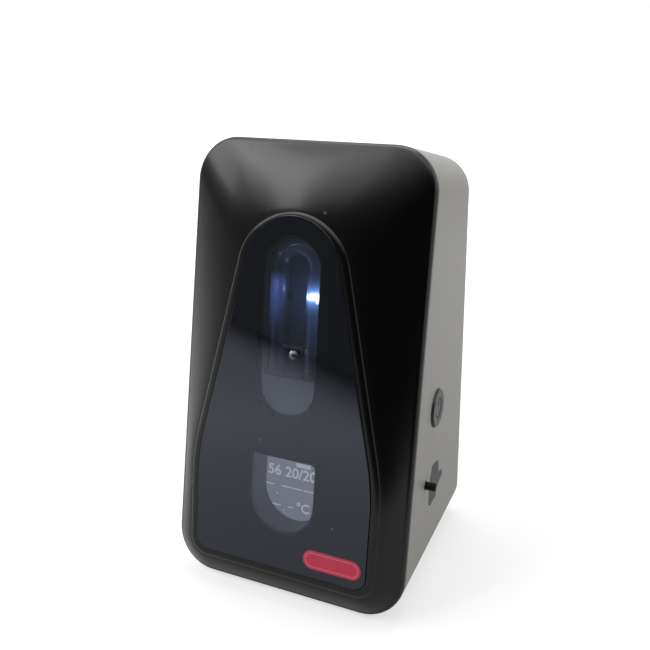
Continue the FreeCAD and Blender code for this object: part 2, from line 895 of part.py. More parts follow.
def cell_fittings():
    """Two barbed fittings in the manifold's back."""
    reach = fitting_sunk + fitting_length
    profile = [(0, fitting_bore), (reach, fitting_bore), (reach, fitting_radius),
               (reach - barb_length, fitting_radius + barb_height), (reach - barb_length, fitting_radius),
               (0, fitting_radius)]
    return group([turned(profile, fitting_place(side)) for side in (-1, 1)])


def solid_run(start, end, radius):
    return Part.makeCylinder(radius, (end - start).Length, start, end - start)


def hose(points):
    """Solid hose along straight runs joined by arcs, each as large as its runs allow."""
    runs = []
    start = points[0]
    for before, corner, after in zip(points, points[1:], points[2:]):
        a = (before - corner).normalize()
        b = (after - corner).normalize()
        reach = min((before - corner).Length, (after - corner).Length) * hose_turn_share
        half_angle = a.getAngle(b) / 2
        axis = (a + b).normalize()
        centre = corner + axis * (reach / math.cos(half_angle))
        turn_start = corner + a * reach
        runs.append(solid_run(start, turn_start, hose_radius))
        turn_deg = 180 - math.degrees(2 * half_angle)
        disc = Part.Face(Part.Wire([Part.makeCircle(hose_radius, turn_start, -a)]))
        runs.append(disc.revolve(centre, (turn_start - centre).cross(-a), turn_deg))
        start = corner + b * reach
    runs.append(solid_run(start, points[-1], hose_radius))
    return one(runs[0].fuse(runs[1:]))


def sample_axis_point(level, past):
    """Point on a sample port's axis, so far past the end of its tail."""
    return sample_place(level).multVec(Vec(wall + nut_thickness + tail_length + past, 0, 0))


def sample_hose(side, level):
    """Hose from a cell fitting to a sample port, its ends stretched over the barbs."""
    start_place = fitting_place(side)
    start = start_place.multVec(Vec(fitting_sunk + cell_floor + hose_radius, 0, 0))
    first = start_place.multVec(Vec(fitting_sunk + cell_floor + hose_radius + hose_back_run, 0, 0))
    end = sample_axis_point(level, barb_length - tail_length)
    last = sample_axis_point(level, tail_length)
    bore_radius = fitting_radius + hose_gap
    bores = [solid_run(start, start + (first - start).normalize() * fitting_length, bore_radius),
             solid_run(end, sample_axis_point(level, barb_length), bore_radius)]
    return one(hose([start, first, last, end]).cut(bores + [cell_fittings(), sample_port(level)]))


def inlet_hose():
    return sample_hose(-1, 0)


def outlet_hose():
    return sample_hose(1, 1)


def sample_port(level):
    """Socket for a syringe tip, with a flange on the wall, a shank through it and a barbed tail."""
    seat = spot_depth
    mouth = seat - flange_thickness - barrel_length
    shank_end = wall + nut_thickness
    tail_end = shank_end + tail_length
    profile = [(mouth, socket_radius), (mouth, barrel_radius), (seat - flange_thickness, barrel_radius),
               (seat - flange_thickness, flange_radius), (seat, flange_radius), (seat, shank_radius),
               (shank_end, shank_radius), (shank_end, fitting_radius), (tail_end - barb_length, fitting_radius),
               (tail_end - barb_length, fitting_radius + barb_height), (tail_end, fitting_radius),
               (tail_end, fitting_bore), (mouth + socket_depth, fitting_bore),
               (mouth + socket_depth, socket_radius)]
    return turned(profile, sample_place(level))


def inlet_port():
    return sample_port(0)


def outlet_port():
    return sample_port(1)


def sample_nuts():
    nuts = []
    for level in (0, 1):
        nut = prism(nut_radius, 0, nut_thickness, 0, 0).cut(
            rod(shank_radius + bore_gap, -cut_over, nut_thickness + cut_over, 0, 0))
        inside = Placement(Vec(wall + seat_gap, 0, 0), Rotation(UP, -90))
        nuts.append(put(nut, sample_place(level).multiply(inside)))
    return group(nuts)


def chassis_screw_places():
    turn = Rotation(UP, 180)
    places = []
    for x in (-boss_side, boss_side):
        for v in (boss_low, boss_high):
            places.append(panel_place.multiply(Placement(Vec(x, chassis_back + screw_head_height, v), turn)))
    return places


def chassis_plate():
    """Plate on the fascia's four bosses that carries the main board."""
    plate = slab(plate_outline(chassis_half, chassis_low, chassis_high, chassis_corner), chassis_front,
                 chassis_back, panel_place)
    cuts = [screw_hole(place, screw_length) for place in chassis_screw_places()]
    for x in (-tube_reach, tube_reach):
        cuts.append(rod(chassis_hole, chassis_front - cut_over, chassis_back + cut_over, x, passage_level,
                        panel_place))
    return one(plate.cut(cuts))


def chassis_screws():
    return group([screw_at(place) for place in chassis_screw_places()])


def damping_pad():
    edges = plate_outline(pad_foam_half, pad_foam_low, pad_foam_high, cell_wall)
    return slab(edges, cell_back + cell_floor, chassis_front, panel_place)


def standoff_spots():
    half = main_board_half - standoff_inset
    levels = (main_board_low + standoff_inset, main_board_high - standoff_inset)
    return [(x, v) for x in (-half, half) for v in levels]


def board_standoffs():
    far = chassis_back + standoff_length
    return group([prism(standoff_radius, chassis_back, far, x, v, panel_place) for x, v in standoff_spots()])


def main_board():
    near = chassis_back + standoff_length
    edges = plate_outline(main_board_half, main_board_low, main_board_high, cell_wall)
    return slab(edges, near, near + main_board_thickness, panel_place)


def main_board_parts():
    """Processor, memory and the board's sockets, on its back."""
    near = chassis_back + standoff_length + main_board_thickness
    middle = (main_board_low + main_board_high) / 2
    half_rise = (main_board_high - main_board_low) / 2
    parts = []
    for height, shares in ((chip_height, chip_shares), (socket_height, socket_shares)):
        for x_share, v_share, size_share in shares:
            half = main_board_half * size_share
            v = middle + half_rise * v_share
            chip = block(half, v - half, v + half, near, near + height)
            spot = Placement(SIDE * (main_board_half * x_share), Rotation())
            parts.append(put(chip, panel_place.multiply(spot)))
    return group(parts)


def battery_near():
    return back_y - cover_thickness - ledge_thickness - battery_back_gap - battery_depth


def battery_tray():
    out = tray_gap + tray_wall
    near = battery_near()
    floor = pad_proud + wall
    outer = Part.makeBox(battery_width + 2 * out, battery_depth + 2 * out, tray_height,
                         Vec(-battery_width / 2 - out, near - out, floor))
    inner = Part.makeBox(battery_width + 2 * tray_gap, battery_depth + 2 * tray_gap, tray_height,
                         Vec(-battery_width / 2 - tray_gap, near - tray_gap, floor + tray_wall))
    return one(outer.cut(inner))


def battery_pack():
    floor = pad_proud + wall + tray_wall
    corner = Vec(-battery_width / 2, battery_near(), floor)
    cell = Part.makeBox(battery_width, battery_depth, battery_height, corner)
    edges = [e for e in cell.Edges if e.BoundBox.ZLength < battery_height / 10 and
             e.BoundBox.YLength < battery_height / 10]
    return cell.makeFillet(battery_round, edges)


def flange_start():
    """Depth of the button's flange behind the wall's outer face."""
    return wall + button_rest_gap


def guide_start():
    return wall + seat_gap


def power_button():
    """Round cap through the wall, held in by a flange, with a stem towards the switch."""
    flange_end = flange_start() + button_flange_thickness
    stem_end = switch_front() - plunger_length
    cap = Part.makeCylinder(button_radius, flange_end + button_proud, Vec(-button_proud, 0, 0), SIDE)
    face_edge = [e for e in cap.Edges if e.BoundBox.XMax < -button_proud / 2]
    cap = cap.makeChamfer(button_edge, face_edge)
    flange = Part.makeCylinder(button_radius + button_flange, button_flange_thickness, Vec(flange_start(), 0, 0),
                               SIDE)
    stem = Part.makeCylinder(stem_radius, stem_end - flange_end, Vec(flange_end, 0, 0), SIDE)
    return put(one(cap.fuse([flange, stem]).removeSplitter()), button_place())


def guide_outer():
    return button_radius + button_flange + guide_gap + guide_wall


def post_reach():
    return switch_board_height / 2 - guide_post_inset


def button_guide():
    """Ring inside the wall round the button's flange, with two posts for the switch board."""
    inner = button_radius + button_flange + guide_gap
    near = guide_start()
    ring = Part.makeCylinder(guide_outer(), guide_length, Vec(near, 0, 0), SIDE)
    posts = []
    hole = Part.makeCylinder(inner, guide_length + 2 * cut_over, Vec(near - cut_over, 0, 0), SIDE)
    for z in (-post_reach(), post_reach()):
        posts.append(Part.makeCylinder(guide_post_radius, board_front() - near, Vec(near, 0, z), SIDE))
    return put(one(ring.fuse(posts).cut(hole)), button_place())


def switch_front():
    return guide_start() + guide_length + plunger_length


def board_front():
    return switch_front() + switch_height


def power_switch():
    half = switch_size / 2
    body = Part.makeBox(switch_height, switch_size, switch_size, Vec(switch_front(), -half, -half))
    well = Part.makeCylinder(plunger_radius + plunger_gap, switch_height / 2 + cut_over,
                             Vec(switch_front() - cut_over, 0, 0), SIDE)
    return put(one(body.cut(well)), button_place())


def switch_plunger():
    """Pin of the switch, which moves with the button."""
    near = switch_front() - plunger_length
    length = plunger_length + switch_height / 2 - button_travel - plunger_travel_gap
    return put(Part.makeCylinder(plunger_radius, length, Vec(near, 0, 0), SIDE), button_place())


def switch_board():
    half = switch_board_half
    board = Part.makeBox(switch_board_thickness, 2 * half, switch_board_height,
                         Vec(board_front(), -half, -switch_board_height / 2))
    return put(board, button_place())


def jack_back():
    return wall + seat_gap + jack_length


def charging_jack():
    """Round metal socket behind the wall's hole."""
    near = wall + seat_gap
    shell = Part.makeCylinder(jack_radius, jack_length, Vec(near, 0, 0), SIDE)
    bore = Part.makeCylinder(jack_bore, jack_length - jack_floor + cut_over, Vec(near - cut_over, 0, 0), SIDE)
    return put(one(shell.cut(bore)), port_place())


def jack_pin():
    start = jack_back() - jack_floor - pin_reach
    return put(Part.makeCylinder(pin_radius, pin_reach, Vec(start, 0, 0), SIDE), port_place())


def port_board():
    """Small board under the jack, on the wall's shelf."""
    return on_wall_box(wall + seat_gap, port_board_length, port_board_width / 2, board_under(),
                       port_board_thickness, port_place())


def port_plug():
    """Soft plug: a grip that stands out of the wall and a hollow tip round the jack's pin."""
    tip_start = wall + seat_gap
    tip_end = tip_start + plug_reach
    profile = [(-plug_proud, 0), (-plug_proud, plug_radius - plug_bevel), (plug_bevel - plug_proud, plug_radius),
               (tip_start, plug_radius), (tip_start, plug_tip_radius), (tip_end, plug_tip_radius),
               (tip_end, plug_bore), (tip_start, plug_bore), (tip_start, 0)]
    return turned(profile, port_place())


pieces = {
    "body_shell": body_shell,
    "front_fascia": front_fascia,
    "glass_panel": glass_panel,
    "window_mask": window_mask,
    "base_pad": base_pad,
    "rear_cover": rear_cover,
    "rear_cover_screws": rear_cover_screws,
    "display_shroud": display_shroud,
    "display_screen": display_screen,
    "display_board": display_board,
    "display_spacers": display_spacers,
    "cell_housing": cell_housing,
    "u_tube": u_tube,
    "cell_manifold": cell_manifold,
    "cell_collars": cell_collars,
    "temperature_sensor": temperature_sensor,
    "magnet_bridge": magnet_bridge,
    "drive_magnet": drive_magnet,
    "cell_light_board": cell_light_board,
    "cell_lamps": cell_lamps,
    "drive_coil": drive_coil,
    "coil_core": coil_core,
    "cell_fittings": cell_fittings,
    "inlet_hose": inlet_hose,
    "outlet_hose": outlet_hose,
    "inlet_port": inlet_port,
    "outlet_port": outlet_port,
    "sample_nuts": sample_nuts,
    "chassis_plate": chassis_plate,
    "chassis_screws": chassis_screws,
    "damping_pad": damping_pad,
    "board_standoffs": board_standoffs,
    "main_board": main_board,
    "main_board_parts": main_board_parts,
    "battery_tray": battery_tray,
    "battery_pack": battery_pack,
    "power_button": power_button,
    "button_guide": button_guide,
    "power_switch": power_switch,
    "switch_plunger": switch_plunger,
    "switch_board": switch_board,
    "charging_jack": charging_jack,
    "jack_pin": jack_pin,
    "port_board": port_board,
    "port_plug": port_plug,
}

os.makedirs("parts", exist_ok=True)
for name, make in pieces.items():
    shape = make()
    shape.exportStep(os.path.join("parts", name + ".step"))
    box = shape.BoundBox
    print(name, "solids", len(shape.Solids), "valid", shape.isValid(), "volume", round(shape.Volume, 1),
          "x %.1f %.1f y %.1f %.1f z %.1f %.1f" % (box.XMin, box.XMax, box.YMin, box.YMax, box.ZMin, box.ZMax))
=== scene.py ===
import json
import math

import bmesh
import bpy
from bpy.props import FloatProperty, FloatVectorProperty, PointerProperty
from mathutils import Matrix, Vector


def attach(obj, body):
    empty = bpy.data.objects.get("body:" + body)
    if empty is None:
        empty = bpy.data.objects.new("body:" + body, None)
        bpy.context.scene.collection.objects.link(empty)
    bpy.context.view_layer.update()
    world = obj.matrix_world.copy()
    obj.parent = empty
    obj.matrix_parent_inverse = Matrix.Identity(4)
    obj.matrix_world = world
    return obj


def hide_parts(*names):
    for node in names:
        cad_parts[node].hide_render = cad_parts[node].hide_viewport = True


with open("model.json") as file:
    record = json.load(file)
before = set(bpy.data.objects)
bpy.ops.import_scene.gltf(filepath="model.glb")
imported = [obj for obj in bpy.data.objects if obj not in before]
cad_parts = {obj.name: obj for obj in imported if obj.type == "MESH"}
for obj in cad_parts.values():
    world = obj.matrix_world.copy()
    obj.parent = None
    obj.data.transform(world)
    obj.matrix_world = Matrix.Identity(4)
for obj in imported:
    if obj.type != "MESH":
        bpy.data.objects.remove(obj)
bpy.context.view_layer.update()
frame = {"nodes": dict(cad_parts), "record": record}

bl_info = {
    "name": "Bench density meter",
    "version": (1, 0, 0),
    "blender": (4, 5, 0),
    "location": "View3D > Sidebar > Meter",
    "description": "Dresses the packed density meter and sets up its studio",
    "category": "Object",
}

MM = 0.001
# The lamp that shines through the tube's right leg: to the right and up on the panel
LAMP_LIT = (6.2 * MM, 108.8 * MM)


def length(name, description, millimetres):
    return FloatProperty(name=name, description=description, default=millimetres * MM, unit="LENGTH",
                         subtype="DISTANCE", precision=5)


def angle(name, description, degrees):
    return FloatProperty(name=name, description=description, default=math.radians(degrees), subtype="ANGLE")


def colour(name, description, red, green, blue):
    return FloatVectorProperty(name=name, description=description, default=(red, green, blue), subtype="COLOR",
                               size=3, min=0.0, max=1.0)


def radiance(name, description, value):
    return FloatProperty(name=name, description=description, default=value, min=0.0)


class FasciaSizes(bpy.types.PropertyGroup):
    """Sizes of the black front, from its rim to the seat of the pane."""
    foot: length("Rim foot", "How far the rim's foot lies in front of the middle", 38.75)
    lift: length("Lift", "Height of the housing above the table", 0.8)
    lean: angle("Lean", "How far the front leans back", 12.0)
    width: length("Width", "Width of the front halfway up", 90.0)
    height: length("Height", "Height of the front along its lean", 162.5)
    corner: length("Corner", "Radius of the front's corners", 15.3)
    taper: angle("Taper", "Lean of each side towards the middle", 0.5)
    back_width: length("Back width", "Width of the back halfway up", 86.0)
    depth: length("Depth", "Depth of the housing at its base", 77.5)
    skirt: length("Skirt", "Straight stretch at the rim's foot", 0.8)
    seam: length("Seam", "Rounding of the rim's foot", 0.25)
    rim_round: length("Rim rounding", "Radius of the rim's rounding", 2.2)
    rim_turn: angle("Rim turn", "How far the rim turns before the flank begins", 68.0)
    bow: FloatProperty(name="Flank bow", description="How much the flank swells", default=1.35,
                       min=1.0, max=3.0)
    proud: length("Panel height", "How far the teardrop stands in front of the rim's foot", 8.1)
    tilt: angle("Panel tilt", "Turn of the teardrop against the rim", 2.15)
    step: length("Frame step", "Height of the frame above the flank", 1.0)
    crown: length("Frame crown", "Width over which the frame rounds down to the flank", 2.3)
    crown_turn: angle("Crown turn", "Turn of that rounding", 70.0)
    half: length("Half width", "Half width of the teardrop", 37.0)
    low: length("Low end", "Start of the teardrop above the rim's foot", 8.5)
    waist: length("Waist", "Height where its sides begin to lean", 49.5)
    slope: angle("Slope", "Lean of the teardrop's sides", 12.7)
    top_radius: length("Top radius", "Radius of the teardrop's top", 21.1)
    frame_corner: length("Frame corner", "Radius of its lower corners", 7.2)
    blend: length("Waist radius", "Radius where its sides begin to lean", 85.0)
    shoulder: angle("Shoulder", "Turn at which the top arc is divided", 52.0)
    band: length("Side band", "Width of the frame beside the pane", 3.4)
    low_band: length("Low band", "Width of the frame below the pane", 3.8)
    pane_radius: length("Pane top radius", "Radius of the pane's top", 17.2)
    pane_corner: length("Pane corner", "Radius of the pane's lower corners", 4.5)
    gap: length("Pane gap", "How much wider than the pane's nominal outline the frame's opening is", 0.34)
    lip: length("Seat edge", "Rounding of the frame's inner edge", 0.2)
    seat: length("Seat depth", "Depth of the seat behind the frame's face", 2.85)
    ledge: length("Ledge", "Thickness of the ledge behind the pane", 2.2)
    wall: length("Wall", "Wall of the housing", 2.4)
    tongue: length("Tongue", "Reach of the tongue into the housing", 5.0)
    tongue_wall: length("Tongue wall", "Thickness of the tongue", 1.6)
    tongue_gap: length("Tongue gap", "Gap between the tongue and the wall", 0.3)
    post_radius: length("Post radius", "Radius of the four chassis posts", 3.0)
    post_side: length("Post side", "Distance of the posts from the middle", 31.0)
    post_low: length("Low posts", "Height of the low posts", 22.0)
    post_high: length("High posts", "Height of the high posts", 135.0)
    post_root: length("High post root", "Depth at which the high posts start", 8.0)
    post_end: length("Post end", "Depth at which the posts end", 19.4)


class PaneSizes(bpy.types.PropertyGroup):
    """Sizes of the glass pane and of the windows in the print behind it."""
    back: length("Back", "Depth of the pane's back behind the frame's face", 2.6)
    proud: length("Proud", "How far the pane stands in front of its frame", 0.3)
    grow: length("Grown", "How much wider than its nominal outline the pane is", 0.2)
    edge: length("Edge", "Rounding of the pane's front edge", 0.2)
    window_gap: length("Window gap", "How much wider the openings in the ledge are", 1.5)
    print_margin: length("Print margin", "How far the clear glass reaches past each window", 1.1)
    cell_half: length("Cell window", "Half width of the cell window", 10.1)
    cell_low: length("Cell low end", "Lower end of the cell window", 69.0)
    cell_high: length("Cell high end", "Upper end of the cell window", 130.2)
    display_half: length("Display window", "Half width of the display window", 12.2)
    display_low: length("Display low end", "Lower end of the display window", 25.4)
    display_high: length("Display high end", "Upper end of the display window", 52.9)
    display_corner: length("Display corner", "Radius of its upper corners", 1.8)
    badge_middle: length("Badge place", "Middle of the badge, to the right", 21.15)
    badge_level: length("Badge level", "Height of the badge's middle", 19.0)
    badge_width: length("Badge width", "Width of the badge", 21.9)
    badge_height: length("Badge height", "Height of the badge", 7.0)
    badge_line: length("Badge line", "Width of the pale line inside the badge's edge", 0.45)
    badge_rim: length("Badge rim", "Width of red outside that line", 0.75)
    print_rise: length("Print", "Thickness of the print", 0.06)


class DisplaySizes(bpy.types.PropertyGroup):
    """Sizes of what the display shows."""
    depth: length("Depth", "Depth of the screen behind the frame's face", 14.6)
    rise: length("Rise", "Thickness of the lit marks", 0.04)
    digit_height: length("Digit height", "Height of the large figures", 4.0)
    digit_level: length("Digit level", "Base of the large figures", 41.2)
    digit_start: length("Digit start", "Left end of the large figures", -12.0)
    digit_weight: length("Digit weight", "How much bolder than plain the figures are", 0.09)
    bar_width: length("Bar", "Thickness of the dashes", 0.42)
    bar_level: length("Dash level", "Height of the upper dashes", 37.2)
    low_level: length("Low dash level", "Height of the lower dashes", 29.45)
    unit_height: length("Unit height", "Height of the unit sign", 3.6)
    unit_start: length("Unit start", "Left end of the unit sign", 0.2)
    unit_level: length("Unit level", "Base of the unit sign", 28.5)


class SideSizes(bpy.types.PropertyGroup):
    """Sizes of the button, the plug and the sign on the right wall."""
    button_depth: length("Button place", "Distance of the button behind the rim's foot", 36.6)
    button_height: length("Button height", "Height of the button above the housing's underside", 66.4)
    button_radius: length("Button radius", "Radius of the button", 6.9)
    button_proud: length("Button proud", "How far the button stands out", 1.0)
    button_edge: length("Button edge", "Rounding of the button's edge", 0.45)
    button_dish: length("Button dish", "Depth of the dish in its face", 0.35)
    flange_gap: length("Flange gap", "Gap between the wall and the button's flange", 0.3)
    flange_thickness: length("Flange", "Thickness of the flange", 1.2)
    flange_reach: length("Flange reach", "How far the flange stands out past the button", 1.0)
    stem_radius: length("Stem radius", "Radius of the button's stem", 1.5)
    stem_length: length("Stem length", "Reach of the stem behind the wall", 5.05)
    sign_radius: length("Sign radius", "Radius of the power sign", 3.5)
    sign_line: length("Sign line", "Width of the power sign's line", 0.75)
    sign_gap: angle("Sign gap", "Half of the opening in the power sign's ring", 32.0)
    sign_rise: length("Sign rise", "Thickness of the printed signs", 0.04)
    plug_depth: length("Plug place", "Distance of the plug behind the rim's foot", 25.2)
    plug_height: length("Plug height", "Height of the plug above the housing's underside", 40.8)
    plug_radius: length("Plug radius", "Radius of the plug's grip", 1.45)
    plug_proud: length("Plug proud", "How far the plug stands out", 3.8)
    plug_edge: length("Plug edge", "Rounding of the grip's edge", 0.4)
    plug_root: length("Plug root", "How far the grip reaches behind the wall", 0.05)
    tip_radius: length("Tip radius", "Radius of the plug's hollow tip", 1.15)
    tip_bore: length("Tip bore", "Radius of the tip's bore", 0.6)
    tip_length: length("Tip length", "Length of the plug's tip", 4.6)


class ScrewSizes(bpy.types.PropertyGroup):
    """Sizes of the rear cover's screws."""
    inset: length("Inset", "Distance of the screws from the back's edges", 9.5)
    head: length("Head radius", "Radius of the head", 2.7)
    head_height: length("Head height", "Height of the head", 1.7)
    chamfer: length("Chamfer", "Bevel of the head's edge", 0.35)
    shank: length("Shank radius", "Radius of the shank", 1.5)
    shank_length: length("Shank length", "Length of the shank", 8.0)
    point: length("Point", "Length of the shank's bevelled end", 0.6)
    socket: length("Socket radius", "Radius of the hexagon socket", 1.0)
    socket_depth: length("Socket depth", "Depth of the hexagon socket", 0.9)


class Finishes(bpy.types.PropertyGroup):
    """Colours of the visible finishes."""
    # Colour of the painted glow in the measuring tube, laid into the tube's emission
    glow: colour("Glow", "Light in the measuring tube", 0.10, 0.19, 0.55)
    shell: colour("Shell", "Moulded housing", 0.43, 0.42, 0.39)
    front: colour("Front", "Lacquered front", 0.0016, 0.0016, 0.0018)
    pane: colour("Pane", "Tint of the pane", 0.50, 0.52, 0.58)
    badge: colour("Badge", "Red badge", 0.66, 0.035, 0.09)
    badge_line: colour("Badge line", "Line inside the badge's edge", 0.8, 0.16, 0.22)
    button: colour("Button", "Push button", 0.038, 0.038, 0.041)
    power: colour("Power sign", "Sign on the push button", 0.006, 0.006, 0.007)
    sign: colour("Sign", "Signs on the wall", 0.04, 0.041, 0.044)
    screen: colour("Screen", "Lit screen", 0.16, 0.165, 0.19)
    marks: colour("Marks", "Lit marks", 0.75, 0.77, 0.8)


class Studio(bpy.types.PropertyGroup):
    """Light, floor and camera."""
    overhead: radiance("Overhead", "Radiance of the soft box overhead", 3.0)
    streak: radiance("Streak", "Radiance of the narrow lamp in front on the left", 5.0)
    high_left: radiance("High left", "Radiance of the soft box high on the left", 4.4)
    left: radiance("Left", "Radiance of the pale wall on the left", 2.4)
    right: radiance("Right", "Radiance of the lamp behind on the right", 0.85)
    ambient: radiance("Ambient", "Even light of the room", 0.28)
    room_left: radiance("Room on the left", "What is mirrored of the room on the left", 0.22)
    room_right: radiance("Room on the right", "What is mirrored of the room on the right", 0.03)
    floor_near: radiance("Near floor", "Level of the floor at the meter before it is lit", 0.62)
    ceiling: radiance("Ceiling", "What is mirrored of the ceiling", 2.6)
    floor_far: length("Far floor", "Distance at which the floor is even white", 700.0)
    floor_soft: length("Floor's fading", "Half width of the fading along the floor's slanting edge", 70.0)
    lens: FloatProperty(name="Lens", description="Focal length in millimetres", default=44.4)


GROUPS = {
    "meter_fascia": FasciaSizes,
    "meter_pane": PaneSizes,
    "meter_display": DisplaySizes,
    "meter_side": SideSizes,
    "meter_screws": ScrewSizes,
    "meter_finishes": Finishes,
    "meter_studio": Studio,
}


def fascia():
    return bpy.context.scene.meter_fascia


def pane():
    return bpy.context.scene.meter_pane


def side():
    return bpy.context.scene.meter_side


# Outlines: an edge is a function that gives its point at a share of its length


def between(a, b, part):
    return tuple(p + (q - p) * part for p, q in zip(a, b))


def straight(a, b):
    return lambda part: between(a, b, part)


def bend(centre, radius, start, sweep):
    def point(part):
        turn = start + sweep * part
        return (centre[0] + radius * math.cos(turn), centre[1] + radius * math.sin(turn))
    return point


def rounded(corners, radii):
    """Edges of a rounded outline, each straight one followed by the bend at its end."""
    count = len(corners)
    bends = []
    for i, corner in enumerate(corners):
        a = Vector(corners[i - 1]) - Vector(corner)
        b = Vector(corners[(i + 1) % count]) - Vector(corner)
        half = a.angle(b) / 2
        middle = (a.normalized() + b.normalized()).normalized()
        centre = Vector(corner) + middle * radii[i] / math.sin(half)
        reach = radii[i] / math.tan(half)
        first = Vector(corner) + a.normalized() * reach - centre
        start = math.atan2(first.y, first.x)
        bends.append(bend(centre, radii[i], start, math.pi - 2 * half))
    edges = []
    for i in range(count):
        following = bends[(i + 1) % count]
        edges += [straight(bends[i](1), following(0)), following]
    return edges


def parts_of(edge, cuts):
    """The edge divided at shares of its length."""
    stops = [0.0, *cuts, 1.0]
    return [(lambda part, a=a, b=b: edge(a + (b - a) * part)) for a, b in zip(stops, stops[1:])]


def housing_outline(inset):
    """Outline of the front, its sides divided where the teardrop's waist lies."""
    f = fascia()
    slant = math.tan(f.taper)
    low = f.width / 2 + f.height / 2 * slant - inset
    high = f.width / 2 - f.height / 2 * slant - inset
    corners = [(-low, inset), (low, inset), (high, f.height - inset), (-high, f.height - inset)]
    edges = rounded(corners, [f.corner - inset] * 4)
    bottom, right_low, right, right_high, top, left_high, left, left_low = edges
    reach = f.blend * math.tan(f.slope / 2)
    cuts = [(f.waist + way * reach - f.corner) / (f.height - 2 * f.corner) for way in (-1, 1)]
    mirrored = [1 - cut for cut in reversed(cuts)]
    return [bottom, right_low, *parts_of(right, cuts), right_high, top, left_high, *parts_of(left, mirrored),
            left_low]


def teardrop(half, low, waist, top_radius, corner):
    """Teardrop outline whose top bend is divided in three."""
    f = fascia()
    tip = waist + half / math.tan(f.slope)
    corners = [(-half, low), (half, low), (half, waist), (0, tip), (-half, waist)]
    edges = rounded(corners, [corner, corner, f.blend, top_radius, f.blend])
    top = edges[5]
    cut = (f.shoulder - f.slope) / (math.pi - 2 * f.slope)
    return edges[:5] + parts_of(top, [cut, 1 - cut]) + edges[6:]


def frame_outline(inset):
    f = fascia()
    waist = f.waist - inset * math.tan(f.slope / 2)
    return teardrop(f.half - inset, f.low + inset, waist, f.top_radius - inset, f.frame_corner - inset)


def pane_outline(grow):
    f = fascia()
    waist = f.waist + grow * math.tan(f.slope / 2)
    return teardrop(f.half - f.band + grow, f.low + f.low_band - grow, waist, f.pane_radius + grow,
                    f.pane_corner + grow)


# Steps along each edge of the large outlines, and along each edge of the windows and of the badge
RING_STEPS = (12, 14, 8, 12, 18, 14, 18, 14, 18, 12, 8, 14)
WINDOW_STEPS = (24,) * 8
BADGE_STEPS = (16,) * 8
# Radius of a round end as a share of half its width, so that its two bends stay apart
ROUND_END = 0.999


def ring(edges, steps=RING_STEPS):
    """Points of a closed outline, each edge divided into its own number of steps."""
    return [edge(i / count) for edge, count in zip(edges, steps) for i in range(count)]


def capsule(half, low, high, low_radius, high_radius):
    """Upright outline with rounded corners."""
    corners = [(-half, low), (half, low), (half, high), (-half, high)]
    return rounded(corners, [low_radius, low_radius, high_radius, high_radius])


def turns_to(sweep, steps, first=0):
    """Angles from 0 up to a sweep in equal steps."""
    return [sweep * i / steps for i in range(first, steps + 1)]


# Places


def face_place():
    f = fascia()
    return Matrix.Translation((0, -f.foot, f.lift)) @ Matrix.Rotation(-f.lean, 4, "X")


def panel_place():
    f = fascia()
    return face_place() @ Matrix.Translation((0, -f.proud, 0)) @ Matrix.Rotation(f.tilt, 4, "X")


def back_height():
    """Height of the back, whose top the lean lowers."""
    f = fascia()
    top_reach = (f.depth - f.height * math.sin(f.lean)) / math.cos(f.lean)
    return f.height * math.cos(f.lean) - top_reach * math.sin(f.lean)


def half_width(depth, height):
    """Half width of the housing at a depth behind the rim's foot and a height above its underside."""
    f = fascia()
    sine = math.sin(f.lean)
    cosine = math.cos(f.lean)
    slant = math.tan(f.taper)
    along = depth * sine + height * cosine
    reach = depth * cosine - height * sine
    front_half = f.width / 2 + (f.height / 2 - along) * slant
    back_half = f.back_width / 2 + (back_height() / 2 - height) * slant
    return front_half + (back_half - front_half) * reach * cosine / (f.depth - along * sine)


def wall_place(depth, height):
    """Place on the right wall: X to the back, Y up and Z out of the wall."""
    f = fascia()
    near = 1 * MM
    back = Vector((half_width(depth + near, height) - half_width(depth, height), near, 0)).normalized()
    rise = Vector((half_width(depth, height + near) - half_width(depth, height), 0, near)).normalized()
    out = back.cross(rise).normalized()
    rise = out.cross(back)
    place = Matrix((back, rise, out)).transposed().to_4x4()
    place.translation = Vector((half_width(depth, height), depth - f.foot, height + f.lift))
    return place


# Turns a flat shape's plane upright, its third axis towards the viewer
FLAT_TO_DEPTH = Matrix.Rotation(math.pi / 2, 4, "X")
# Points nearer than this are merged, in swept shapes and in small ones
WELD = 0.02 * MM
FINE_WELD = 0.001 * MM


# Meshes


def add_object(name, data):
    made = bpy.data.objects.new(name, data)
    bpy.context.scene.collection.objects.link(made)
    return made


def new_piece(name, mesh, finish, body, slot, *replaced):
    """Adds a finished piece to the scene and gives it to its body."""
    piece = add_object(name, mesh)
    mesh.materials.clear()
    mesh.materials.append(finish)
    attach(piece, body)
    if replaced:
        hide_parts(*replaced)
    return piece


def mesh_of(name, shape, crease=35.0, weld=WELD):
    """Plain mesh from a bmesh: doubles merged, faces outwards, edges sharp past an angle."""
    bmesh.ops.remove_doubles(shape, verts=shape.verts, dist=weld)
    bmesh.ops.recalc_face_normals(shape, faces=shape.faces)
    mesh = bpy.data.meshes.new(name)
    shape.to_mesh(mesh)
    shape.free()
    mesh.shade_smooth()
    mesh.set_sharp_from_angle(angle=math.radians(crease))
    return mesh


def add_rings(shape, rings, closed=False, caps=(False, False)):
    """Skin over rings of points; closed joins the last to the first, caps close the ends."""
    rows = [[shape.verts.new(point) for point in row] for row in rings]
    pairs = list(zip(rows, rows[1:]))
    if closed:
        pairs.append((rows[-1], rows[0]))
    for a, b in pairs:
        for i in range(len(a)):
            j = (i + 1) % len(a)
            shape.faces.new((a[i], a[j], b[j], b[i]))
    if caps[0]:
        shape.faces.new(list(reversed(rows[0])))
    if caps[1]:
        shape.faces.new(rows[-1])


def lay(place, edges, depth):
    """Ring of an outline at a depth behind a place's plane."""
    return [place @ Vector((x, depth, v)) for x, v in ring(edges)]


